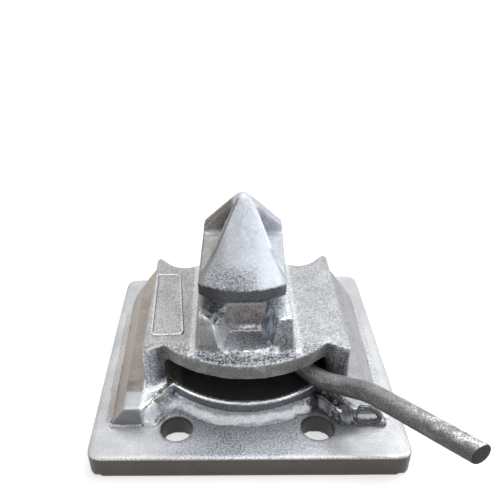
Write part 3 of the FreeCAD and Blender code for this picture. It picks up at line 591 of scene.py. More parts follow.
@dataclass(frozen=True)
class Zinc:
    """Galvanised finish: the tones painted on each piece, painted light and shade among them, broken by grain,
    painted glints and soft lumps.
    """

    name: str
    metallic: float = 0.35
    rough: float = 0.42
    grain_scale: float = 820.0
    grain_depth: float = 0.25
    contrast: float = 0.55
    glint_share: float = 0.7
    cloud_scale: float = 32.0
    lump_scale: float = 180.0
    lump_depth: float = 0.4

    def make(self) -> bpy.types.Material:
        """Makes the material.

        The painted tone is multiplied by 1 plus the specks and the painted glints, each as strong as the
        vertex's grit, and by slow clouds. Gloss takes from the roughness and adds to the metal's share.

        Returns:
            The material.
        """
        graph = Nodes(bpy.data.materials.new(self.name))
        grit = graph.attribute("grit")
        gloss = graph.attribute("gloss")
        fine = graph.grain(self.grain_scale, 2.0, 0.6)
        specks = graph.ramp(fine, 0.36, 0.64, -1.0, 1.0)
        clouds = graph.ramp(graph.grain(self.cloud_scale, 4.0, 0.6, 0.4), 0.32, 0.68, 0.86, 1.08)
        # Painted glints: bright specks added to the tone
        glint = graph.ramp(graph.grain(self.grain_scale * 1.3, 1.0, 0.5), 0.60, 0.68)
        glint = graph.maths("MULTIPLY", graph.maths("MULTIPLY", glint, grit), self.glint_share)
        light = graph.maths("MULTIPLY", graph.maths("MULTIPLY", specks, grit), self.contrast)
        light = graph.maths("ADD", graph.maths("ADD", light, glint), 1.0)
        light = graph.maths("MULTIPLY", light, clouds)
        tone = graph.attribute("tone", "Color")
        colour = graph.add("VectorMath", {0: tone, "Scale": light}, operation="SCALE").outputs[0]
        rough = graph.ramp(fine, 0.35, 0.65, self.rough - 0.12, self.rough + 0.14)
        rough = graph.maths("SUBTRACT", rough, graph.maths("MULTIPLY", gloss, 0.2))
        shiny = graph.maths("ADD", graph.maths("MULTIPLY", gloss, 0.5), self.metallic, clamp=True)
        lumps = graph.bump(graph.grain(self.lump_scale, 2.0, 0.5), 1.0, self.lump_depth)
        gritty = graph.maths("ADD", graph.maths("MULTIPLY", grit, 0.8), 0.15)
        normal = graph.bump(fine, gritty, self.grain_depth, Normal=lumps)
        return graph.end(graph.add("BsdfPrincipled", {"Base Color": colour, "Metallic": shiny,
                                                      "Roughness": rough, "Normal": normal}))


@dataclass(frozen=True)
class DarkSteel:
    """Oiled or blackened steel of the small parts inside."""

    name: str = "dark_steel"
    colour: Colour = (0.06, 0.058, 0.055)
    worn: Colour = (0.14, 0.135, 0.13)
    metallic: float = 0.6
    rough: float = 0.45

    def make(self) -> bpy.types.Material:
        """Makes the material: two tones in patches, under a fine grain.

        Returns:
            The material.
        """
        graph = Nodes(bpy.data.materials.new(self.name))
        patches = graph.ramp(graph.grain(120.0, 4.0, 0.6, 0.5), 0.38, 0.66)
        fine = graph.grain(1500.0, 2.0, 0.5)
        mix = graph.add("Mix", {0: patches, 6: self.colour, 7: self.worn}, data_type="RGBA")
        rough = graph.ramp(fine, 0.35, 0.65, self.rough - 0.1, self.rough + 0.15)
        normal = graph.bump(fine, 0.6, 0.06)
        return graph.end(graph.add("BsdfPrincipled", {"Base Color": mix.outputs[2], "Metallic": self.metallic,
                                                      "Roughness": rough, "Normal": normal}))


PLATE_ZINC = Zinc("galvanised_plate", lump_depth=0.25)
CAST_ZINC = Zinc("galvanised_casting")
HEAD_ZINC = Zinc("galvanised_head", lump_depth=0.25)
LEVER_ZINC = Zinc("worn_lever", metallic=0.3, rough=0.5, grain_scale=950.0, lump_depth=0.3)
WELD_ZINC = Zinc("galvanised_weld", metallic=0.38, rough=0.36, lump_depth=0.3)


# Painting by place


@dataclass(frozen=True)
class Coat:
    """A layer of colour, laid where all of its regions and limits hold."""

    colour: Colour
    grit: float | None
    gloss: float | None
    on: str
    share: float
    limits: dict[str, Limit]


def coat(colour: Colour, grit: float | None = None, gloss: float | None = None, on: str = "",
         share: float = 1.0, **limits: Limit) -> Coat:
    """A coat from its colour and the limits of its place.

    A limit is eased from 0 at its first number to 1 at its second, and with four numbers back to 0
    from the third to the fourth.

    Args:
        colour: Screen colour, 0 to 255.
        grit: Strength of the grain's light and dark specks, or None to leave it.
        gloss: 1 where the surface is smooth and shiny, or None to leave it.
        on: Names of the regions whose weights it is multiplied by.
        share: Its strength.
        **limits: Limits by the name of a field, such as x, width or radius.

    Returns:
        The coat.
    """
    return Coat(colour, grit, gloss, on, share, limits)


def linear(colour: Colour) -> np.ndarray:
    """A screen colour, 0 to 255, as the linear light that Blender works in."""
    share = np.array(colour) / 255.0
    return np.where(share <= 0.04045, share / 12.92, ((share + 0.055) / 1.055) ** 2.4)


class Brush:
    """Colours, grit and gloss for each vertex of a piece, laid on by place and direction."""

    def __init__(self, skin: Skin, base: Colour, grit: float, gloss: float = 0.0) -> None:
        """Starts with one colour all over.

        Args:
            skin: The skin that is painted.
            base: Screen colour, 0 to 255.
            grit: Strength of the grain's light and dark specks.
            gloss: 1 where the surface is smooth and shiny.
        """
        x, y, z = skin.points.T
        self.skin = skin
        self.points = skin.points
        self.normals = skin.normals()
        self.tone = np.tile(linear(base), (len(x), 1))
        self.grit = np.full(len(x), grit)
        self.gloss = np.full(len(x), gloss)
        facing_x, _, facing_z = self.normals.T
        self.fields = {"x": x, "y": y, "z": z, "width": np.abs(x), "depth": np.abs(y), "radius": np.hypot(x, y),
                       "facing_x": facing_x, "facing_z": facing_z, "side": np.abs(facing_x),
                       "level": np.abs(facing_z)}

    def lay(self, weight: np.ndarray, colour: Colour, grit: float | None = None,
            gloss: float | None = None) -> None:
        """Lays a colour on, as strong as the weight of each vertex.

        Args:
            weight: 0 to 1 for each vertex.
            colour: Screen colour, 0 to 255.
            grit: Grit to reach where the weight is 1.
            gloss: Gloss to reach where the weight is 1.
        """
        weight = np.clip(weight, 0.0, 1.0)
        self.tone += (linear(colour) - self.tone) * weight[:, None]
        if grit is not None:
            self.grit += (grit - self.grit) * weight
        if gloss is not None:
            self.gloss += (gloss - self.gloss) * weight

    def region(self, on: str = "", **limits: Limit) -> np.ndarray:
        """Product of the weights of some regions and limits.

        Args:
            on: Names of the regions.
            **limits: Limits by the name of a field.

        Returns:
            0 to 1 for each vertex.
        """
        weight = np.ones(len(self.tone))
        for name in on.split():
            weight = weight * self.fields[name]
        for name, limit in limits.items():
            weight = weight * eased(self.fields[name], limit[0], limit[1])
            if len(limit) == 4:
                weight = weight * eased(self.fields[name], limit[3], limit[2])
        return weight

    def coats(self, coats: tuple[Coat, ...]) -> None:
        """Lays coats on, one after the other."""
        for one in coats:
            self.lay(one.share * self.region(one.on, **one.limits), one.colour, one.grit, one.gloss)

    def facing(self, direction: tuple[float, float, float], low: float, high: float) -> np.ndarray:
        """Weight of the vertices that face a direction."""
        return eased(self.normals @ (np.array(direction) / math.hypot(*direction)), low, high)

    def patches(self, grain: float, seed: int, low: float, high: float) -> np.ndarray:
        """Weight that comes and goes in patches of a size."""
        return eased(layered(self.points, grain, seed, 3), low, high)


# Sub-assemblies


@dataclass
class SkinnedNode:
    """A solid of the frame that is replaced by an even skin over it, with soft edges and painted zinc tones,
    painted light and shade among them.
    """

    node: str
    name: str
    voxel: float
    finish: Zinc
    slot: Slot
    body: Body
    base: Colour
    grit: float
    coats: tuple[Coat, ...]

    def build(self, frame: dict) -> Pieces:
        """Makes the skin, shapes it and paints it.

        Args:
            frame: The loaded frame.

        Returns:
            The new piece.
        """
        piece = skinned_copy(frame["nodes"][self.node], self.name, self.voxel)
        skin = Skin(piece)
        self.shape(skin)
        brush = Brush(skin, self.base, self.grit)
        self.mark(brush)
        brush.coats(self.coats)
        skin.paint(brush)
        skin.put_back()
        dress(piece, self.finish.make(), self.slot, self.body, self.node)
        return [piece]

    def shape(self, skin: Skin) -> None:
        """Gives the skin its soft edges and its surface."""
        raise NotImplementedError

    def mark(self, brush: Brush) -> None:
        """Adds the regions that the coats name."""
        raise NotImplementedError


# Pale top with painted light on its right, spangled front middle, painted shade on the upright edges, in the
# holes, underneath and under the lever, and a painted highlight on the front top edge
PLATE_COATS = (
    # Painted light: the top is lighter on the right
    coat((216, 218, 221), 0.12, x=(20, 75), share=0.6),
    coat((208, 210, 213), 0.08, x=(76, 92), y=(-80, -62)),
    coat((168, 173, 182), 0.75, on="spangled", y=(-52, -70), width=(62, 36)),
    coat((148, 151, 158), 0.8, radius=(92, 74), y=(-40, -52), share=0.6),
    # Painted shade under the lever, by the right front hole
    coat((112, 114, 119), 0.5, on="under_lever_shade", share=0.85),
    coat((186, 189, 194), 0.4, on="streaks", y=(-60, -85), share=0.5),
    # Painted shade on the upright edges, and painted light where they face right
    coat((85, 80, 74), 0.3, level=(0.75, 0.35)),
    coat((120, 117, 112), facing_x=(0.4, 0.8), share=0.6),
    # Painted highlight along the front top edge
    coat((214, 214, 214), 0.3, 0.5, y=(-98.6, -99.2), z=(14.6, 15.2), share=0.8),
    # Painted shade in the holes and on the underside
    coat((80, 79, 77), 0.3, on="holes", z=(16.2, 15)),
    coat((110, 108, 104), 0.3, z=(2, 0.2)),
)


@dataclass
class BasePlate(SkinnedNode):
    """The square plate that everything is welded on."""

    node: str = "base_plate"
    name: str = "mounting_plate"
    voxel: float = 1.25
    finish: Zinc = PLATE_ZINC
    slot: Slot = Slot.PLATE
    body: Body = Body.HOUSING
    base: Colour = (204, 205, 208)
    grit: float = 0.16
    coats: tuple[Coat, ...] = PLATE_COATS
    wave_height: float = 0.12
    inset: float = 0.16
    hole_place: tuple[float, float] = (45.0, 75.0)
    # Middle of the spot of painted shade under the lever
    under_lever_shade_place: tuple[float, float] = (56.0, -71.0)

    def shape(self, skin: Skin) -> None:
        """Rounds the edges and adds slow waves."""
        skin.fair(5)
        skin.push(layered(skin.points, 26.0, 3, 2) * self.wave_height - self.inset)

    def mark(self, brush: Brush) -> None:
        """Marks the holes, the spot of painted shade under the lever by the right front hole, the spangles and
        the streaks.

        Args:
            brush: The plate's brush.
        """
        x, y, _ = brush.points.T
        from_hole = np.hypot(np.abs(x) - self.hole_place[0], np.abs(y) - self.hole_place[1])
        from_under_lever_shade = np.hypot((x - self.under_lever_shade_place[0]) * 0.8, y - self.under_lever_shade_place[1])
        brush.fields["spangled"] = 0.55 + 0.45 * brush.patches(14.0, 31, -0.1, 0.4)
        # Painted shade under the lever, by the right front hole
        brush.fields["under_lever_shade"] = eased(from_under_lever_shade, 17.0, 9.0)
        brush.fields["streaks"] = brush.patches(30.0, 37, 0.1, 0.6)
        brush.fields["holes"] = eased(from_hole, 11.2, 10.2)


# The casting's tones from the general to the particular: painted shade by direction, in the notches, the cavity
# and under the head, painted light where faces turn to the lamps, and painted highlights along edges
HOUSING_COATS = (
    # Painted shade by direction: darkest where faces turn to the front, taupe where they turn to the left,
    # paler where they turn to the right
    coat((128, 130, 134), 0.7, on="front"),
    coat((158, 152, 145), 0.3, on="left"),
    coat((180, 182, 186), 0.4, on="right"),
    coat((174, 173, 171), 0.4, on="seat", x=(-28, -36), share=0.7),
    coat((142, 145, 151), 1.7, on="seat dusted", y=(-46, -57)),
    coat((164, 157, 149), 0.22, on="wing", x=(0, -1)),
    coat((168, 170, 174), 0.25, on="wing", x=(0, 1)),
    coat((205, 207, 211), 0.06, on="wing", x=(0, -1), y=(-56, -58)),
    coat((104, 100, 96), 0.5, on="patch_noise", x=(-85.5, -84, -66, -64.5), y=(-58.5, -57, -47, -45.5),
         z=(27.5, 29, 33, 34.5)),
    # Painted shade on the wings' slopes that face left, paler on those that face right
    coat((166, 158, 150), 0.25, on="slope left"),
    coat((170, 170, 172), 0.3, on="slope right"),
    coat((146, 149, 155), 0.08, on="wing_end", x=(0, -1)),
    coat((250, 251, 254), 0.1, 0.9, on="wing_end", x=(0, 1)),
    coat((104, 106, 110), 0.1, on="wing_end", x=(0, 1), z=(23.8, 24.8, 28, 29), share=0.85),
    coat((186, 192, 200), 0.9, on="pillar", x=(0, -1)),
    coat((128, 130, 134), 1, on="pillar", x=(-60, -55, -1, 0)),
    coat((128, 129, 133), 1.2, on="pillar half_dusted", x=(0, 1)),
    # Painted shade on the steep notch walls, broken up in patches
    coat((84, 84, 87), 1, on="steep dusted", width=(44, 47, 54, 58), y=(-42, -47), z=(33, 36)),
    coat((222, 227, 235), 0.25, 0.7, on="smear"),
    coat((252, 254, 255), 0.12, 1, on="smear strokes"),
    coat((122, 122, 121), 0.55, on="lobe_edge"),
    coat((160, 160, 158), on="lobe_edge lobe_patches", share=0.6),
    # Painted highlight along the top edge of the front lobe
    coat((190, 188, 184), 0.4, on="front", z=(52.4, 53.2, 54.2, 55.2), radius=(68, 70), width=(50, 47)),
    coat((128, 131, 138), 0.35, on="front", z=(32, 30.5), radius=(70.5, 69.8), width=(54, 50)),
    # Painted shade in the lever cavity, paler and browner at its left
    coat((80, 79, 80), 0.12, on="cavity"),
    coat((150, 139, 131), 0.4, on="cavity", x=(-40, -46), y=(-22, -34)),
    # Painted highlights in patches along the lower lip of the cavity's window
    coat((250, 251, 254), 0.12, 1, on="rim_highlight_patches", x=(-60.8, -60, 60, 60.8), y=(-71.8, -71, -40, -39.2),
         z=(29.4, 30.2, 32.5, 33.3), radius=(66.6, 67.4)),
    # Niche floor: painted shade of the head, paler at its left and darkest right of the middle
    coat((164, 168, 176), 1, on="niche top"),
    coat((206, 212, 222), 0.5, on="niche top", x=(0, -10)),
    coat((128, 126, 130), 0.5, on="niche top", x=(2, 9), share=0.6),
    coat((176, 170, 170), 0.5, on="niche front", y=(-38.5, -37)),
    # Painted light on the niche wall that faces right, painted shade on the wall that faces left and in the
    # back corner
    coat((252, 254, 255), 0.25, on="niche right", x=(-8, -10)),
    coat((128, 136, 150), 0.7, on="niche left", x=(8, 10)),
    coat((224, 231, 241), 0.4, 0.4, on="niche left niche_streaks", x=(8, 10)),
    coat((110, 118, 132), 0.6, on="niche right", x=(-8, -10), y=(-38.5, -36.5)),
    coat((240, 242, 246), 1, 0.8, on="niche broken_up", z=(64.9, 66.5, 68.5, 70.1), y=(-42, -38)),
    coat((232, 235, 240), 0.4, 0.6, on="broken_up", x=(-15, -12, 19, 22), y=(-60.5, -58, -55, -53),
         z=(63.4, 64.4, 66.6, 68)),
    # Painted light on the right cheek's top, painted shade of the head on the left cheek's top
    coat((228, 235, 245), 0.5, 0.3, on="cheeks", x=(0, 1)),
    coat((148, 148, 147), 0.5, on="cheeks", x=(0, -1)),
    # Painted shade of the head on the sunken top of the slumped cheek
    coat((104, 108, 116), 1, on="slump top"),
    coat((240, 243, 248), 0.3, 0.6, on="slump slump_patches", z=(72, 77)),
    coat((158, 160, 166), 0.9, on="not_left", x=(-27.2, -26, -13, -11.8), y=(-41.7, -40.5, -34, -32.8),
         z=(76.8, 78, 85.2, 86.4)),
    coat((146, 147, 147), 0.25, on="cheek_fronts", x=(0, -1), z=(84, 81)),
    coat((150, 153, 158), 0.9, on="cheek_fronts", x=(0, 1)),
    # Painted highlight along the fillet at the collar's foot
    coat((222, 224, 226), 0.08, 0.4, width=(30.9, 32.3, 34.7, 36.1), z=(63, 64, 66, 67.5),
         y=(-62, -58), share=0.85),
    coat((222, 224, 228), 0.3, on="worn_edges", z=(50, 56), share=0.7),
)

# Turns and stretches points, so that noise on them makes strokes along the left notch or down a wall
SMEAR_TURN = np.array([[0.07, 0.0, 0.4], [0.09, 0.0, -0.3], [0.0, 1.0, 0.0]])
DOWNWARD = np.array([1.0, 1.0, 0.12])


@dataclass
class Housing(SkinnedNode):
    """The sand-cast dovetail, lever cavity, seat plate and collar, in one skin with soft edges."""

    node: str = "dovetail_body"
    name: str = "housing_casting"
    voxel: float = 1.3
    finish: Zinc = CAST_ZINC
    slot: Slot = Slot.CASTING
    body: Body = Body.HOUSING
    base: Colour = (185, 187, 191)
    grit: float = 0.45
    coats: tuple[Coat, ...] = HOUSING_COATS
    wave_height: float = 0.26
    grain_height: float = 0.16
    slump: float = 7.0
    sink: float = 3.6
    spread: float = 1.8

    def shape(self, skin: Skin) -> None:
        """Softens the edges, breaks the cheek, fills the inner corners and adds waves and grain.

        Args:
            skin: The casting's skin.
        """
        skin.fair(4)
        self.break_cheek(skin)
        skin.smooth(6, eased(skin.stand_out(5), -0.05, -0.35))
        waves = layered(skin.points, 11.0, 5, 2) * self.wave_height
        skin.push(waves + layered(skin.points, 3.0, 23, 2) * self.grain_height)

    def break_cheek(self, skin: Skin) -> None:
        """Lets the collar's left front cheek slump back, and breaks its top's inner part away.

        The upper part of the cheek's front moves back, most at the top. What lies on the inner side of
        a slanting line on top sinks by some millimetres, unevenly.

        Args:
            skin: The casting's skin.
        """
        x, y, z = skin.points.T
        cheek = eased(x, -12.0, -18.0) * eased(x, -33.0, -31.5) * eased(z, 66.0, 70.0)
        rise = np.clip((z - 68.0) / 18.0, 0.0, 1.0) ** 1.4
        front = np.clip((-y - 36.0) / 18.0, 0.0, 1.2)
        lumps = layered(skin.points, 5.0, 41, 3)
        skin.points[:, 1] += cheek * rise * front * (self.slump + 2.5 * lumps)
        x, y, z = skin.points.T
        inner = eased(x + 19.5 - (y + 33.0) * 0.52, -1.2, 1.2) * eased(x, -9.0, -13.0)
        inner *= eased(y, -30.0, -34.0) * eased(z, 79.0, 85.0)
        skin.points[:, 2] -= inner * (self.sink + 2.2 * lumps)
        beside = eased(np.abs(x + 17.0), 6.0, 2.0) * eased(y, -28.0, -34.0)
        skin.points[:, 0] -= eased(z, 76.0, 86.0) * beside * self.spread

    def mark(self, brush: Brush) -> None:
        """Marks the casting's regions: first by direction and noise, then by place.

        Args:
            brush: The casting's brush.
        """
        fields, region = brush.fields, brush.region
        fields["front"] = brush.facing((0.0, -1.0, 0.0), 0.45, 0.75)
        fields["left"] = brush.facing((-1.0, 0.0, 0.15), 0.45, 0.75)
        fields["right"] = brush.facing((1.0, 0.0, 0.15), 0.45, 0.75)
        fields["top"] = brush.facing((0.0, 0.0, 1.0), 0.7, 0.9)
        fields["steep"] = 1.0 - fields["top"]
        fields["not_left"] = 1.0 - fields["left"]
        # Noise patches that break up several coats, the painted shade on the notch walls among them
        fields["patch_noise"] = brush.patches(9.0, 51, -0.2, 0.5)
        fields["dusted"] = 0.6 + 0.4 * fields["patch_noise"]
        fields["half_dusted"] = 0.5 + 0.5 * fields["patch_noise"]
        fields["broken_up"] = brush.patches(4.0, 63, -0.3, 0.4)
        fields["lobe_patches"] = brush.patches(7.0, 53, 0.1, 0.5)
        fields["slump_patches"] = brush.patches(4.5, 67, -0.1, 0.3)
        # Patches of painted highlight on the window's lower lip
        fields["rim_highlight_patches"] = 0.7 + 0.3 * brush.patches(9.0, 57, -0.3, 0.1)
        fields["strokes"] = eased(noise(brush.points @ SMEAR_TURN, 3.2, 55), -0.6, 0.0)
        fields["niche_streaks"] = eased(noise(brush.points * DOWNWARD, 1.8, 65), -0.1, 0.35)
        fields["worn_edges"] = eased(brush.skin.stand_out(3), 0.12, 0.34)
        fields["worn_edges"] *= 0.35 + 0.65 * brush.patches(8.0, 59, -0.2, 0.3)
        fields["seat"] = region("top", z=(60.0, 62.5, 66.0, 68.0))
        fields["wing"] = region("top", z=(34.0, 32.5), width=(64.0, 66.5))
        fields["slope"] = region("steep", z=(33.0, 31.5), width=(68.0, 72.0))
        fields["wing_end"] = region("front", z=(32.5, 31.0), y=(-68.0, -71.5))
        fields["pillar"] = region("front", z=(31.0, 33.0), width=(52.0, 54.5))
        fields["smear"] = region(x=(-68.5, -66.0, -49.0, -46.0), y=(-44.0, -47.0), z=(38.0, 34.0))
        fields["lobe_edge"] = region("front", z=(52.0, 54.0), radius=(67.0, 69.0), width=(52.0, 48.0))
        fields["cavity"] = region(z=(30.0, 30.8, 53.0, 55.0), radius=(68.6, 67.0), width=(52.9, 52.2),
                                  y=(56.0, 53.0))
        fields["niche"] = region(width=(24.0, 22.5), y=(-58.5, -56.5, -35.0, -34.0), z=(64.8, 65.4))
        fields["cheeks"] = region("top", z=(82.0, 84.5), width=(12.0, 14.0))
        fields["slump"] = region("not_left", x=(-30.5, -29.0, -13.0, -11.5), y=(-57.5, -56.0, -33.0, -31.5),
                                 z=(70.5, 72.0, 85.2, 86.7))
        fields["cheek_fronts"] = region("front", z=(67.0, 69.0), width=(17.0, 20.0), y=(-42.0, -46.0))


# Bluish white cone with painted light on its right, painted shade on its left and back and on the left reliefs,
# and painted shade on the rim, whose upper edge is ragged, and on the spindle under the head
HEAD_COATS = (
    coat((212, 218, 228), 0.15, z=(101, 103), x=(-14, 4)),
    # Painted light on the cone's right side, painted shade on its left side
    coat((228, 234, 243), 0.04, z=(101, 103), x=(4, 13)),
    coat((152, 154, 160), 0.5, on="left_side", z=(101, 103), share=0.8),
    coat((198, 202, 209), 0.2, z=(135, 139), share=0.8),
    # Painted shade on the back
    coat((180, 184, 191), 0.3, z=(101, 103), y=(2, 12), share=0.8),
    coat((158, 160, 167), 0.8, z=(101, 103), radius=(34.5, 42), x=(14, -2), y=(0, -4)),
    # Painted shade on the left ridge and fins, painted light on the right ones
    coat((104, 102, 99), 0.3, on="ridge", x=(0, -1)),
    coat((192, 196, 203), 0.2, on="ridge", x=(0, 1)),
    coat((150, 144, 137), 0.3, on="fins", x=(1, -1)),
    coat((168, 164, 158), 0.3, on="fins", x=(-11, -20), share=0.8),
    coat((220, 223, 237), 0.25, on="fins", x=(-1, 1)),
    coat((136, 136, 135), 0.2, x=(-10, -12), y=(0, -5), z=(101, 103, 117.5, 120), past_left=(1.2, -1.2)),
    coat((150, 150, 149), 0.2, on="shelf", z=(116.4, 117.1, 118.9, 119.6)),
    coat((206, 208, 209), 0.1, on="shelf", z=(118.6, 119.4, 121, 121.8), share=0.9),
    # Painted shade on the flats that face left, painted light on those that face right
    coat((138, 139, 139), 0.2, on="flats", x=(0, -1)),
    coat((162, 167, 174), 0.15, on="flats", x=(0, 1)),
    coat((174, 180, 188), 0.1, on="not_flats", x=(9, 12), y=(2, -2), z=(101, 103, 117.5, 120),
         past_right=(1.5, 3.5)),
    # Painted shadow line along the cone's left edge
    coat((92, 90, 88), z=(107, 121), past_left=(-1.6, -1, 0, 0.6), y=(-2, -5), x=(-1.5, -3), share=0.8),
    # Painted shade on the rim, deepest on the left and palest on the right
    coat((82, 86, 91), 0.6, on="rim"),
    coat((46, 46, 49), 0.5, on="rim", x=(-8, -22)),
    coat((104, 108, 113), 0.6, on="rim", x=(16, 26)),
    # Painted shade on the spindle under the head
    coat((84, 86, 90), 0.4, z=(94.5, 93.5)),
)


@dataclass
class LockHead(SkinnedNode):
    """The forged head and spindle as one skin with rounded reliefs."""

    node: str = "lock_cone"
    name: str = "lock_head"
    voxel: float = 0.8
    finish: Zinc = HEAD_ZINC
    slot: Slot = Slot.FORGING
    body: Body = Body.LOCK
    base: Colour = (194, 197, 203)
    grit: float = 0.12
    coats: tuple[Coat, ...] = HEAD_COATS
    wave_height: float = 0.14

    def shape(self, skin: Skin) -> None:
        """Rounds the edges, fills the reliefs' corners, and adds waves above the spindle.

        Args:
            skin: The head's skin.
        """
        skin.fair(6)
        forged = eased(skin.points[:, 2], 92.0, 94.0)
        skin.smooth(14, eased(skin.stand_out(6), -0.04, -0.25) * forged)
        skin.smooth(2, forged)
        skin.push(layered(skin.points, 9.0, 61, 3) * self.wave_height * forged)

    def mark(self, brush: Brush) -> None:
        """Marks the head's regions. The reliefs end at two upright planes through the axis.

        Args:
            brush: The head's brush.
        """
        x, y, z = brush.points.T
        fields = brush.fields
        fields["left_side"] = eased(x - 0.1 * y, -6.0, -13.0)
        fields["past_left"] = 0.837 * x - 0.545 * y
        fields["past_right"] = 0.889 * x + 0.458 * y
        fields["ridge"] = brush.region(z=(117.0, 119.0), width=(4.5, 8.0), depth=(8.0, 6.8))
        fields["front"] = brush.facing((0.0, -1.0, 0.0), 0.7, 0.9)
        fields["fins"] = brush.region("front", z=(117.5, 119.5), depth=(8.0, 6.0))
        fields["shelf"] = brush.region(y=(-9.8, -8.8, -4.0, -3.0), width=(8.0, 11.0))
        fields["flats"] = brush.region(side=(0.75, 0.95))
        fields["not_flats"] = 1.0 - fields["flats"]
        ragged = 102.7 + layered(brush.points * np.array([1.0, 1.0, 0.4]), 1.3, 71, 2) * 0.8
        fields["rim"] = eased(z - ragged, 0.5, -0.5) * brush.region(z=(93.5, 95.0))


# Blotched grey, a painted highlight and painted light along the top, lighter scrapes on the top, painted shade
# on the near side and underneath, and a dark sawn end
LEVER_COATS = (
    coat((84, 83, 81), on="blotches"),
    coat((164, 164, 164), on="flecks", share=0.85),
    # Painted highlight where the bar faces up and to the left, in and near the housing
    coat((240, 244, 250), 0.2, 0.6, on="shine", out=(98, 86)),
    # Painted light along the top; the lighter scrapes are wear, laid on the top only as painted light
    coat((160, 160, 160), 0.4, on="top", out=(60, 84), share=0.6),
    coat((206, 206, 207), 1.2, on="top scrapes", out=(120, 160)),
    # Painted shade on the near side and underneath
    coat((86, 85, 83), 0.8, on="near_side", share=0.6),
    coat((52, 51, 50), 0.4, facing_z=(0.15, -0.5)),
    coat((6, 6, 5), 0.2, -1, on="end", sawn=(0.55, 0.8)),
    coat((17, 15, 13), 0.5, -1, on="end", sawn=(0.9, 0.97)),
)


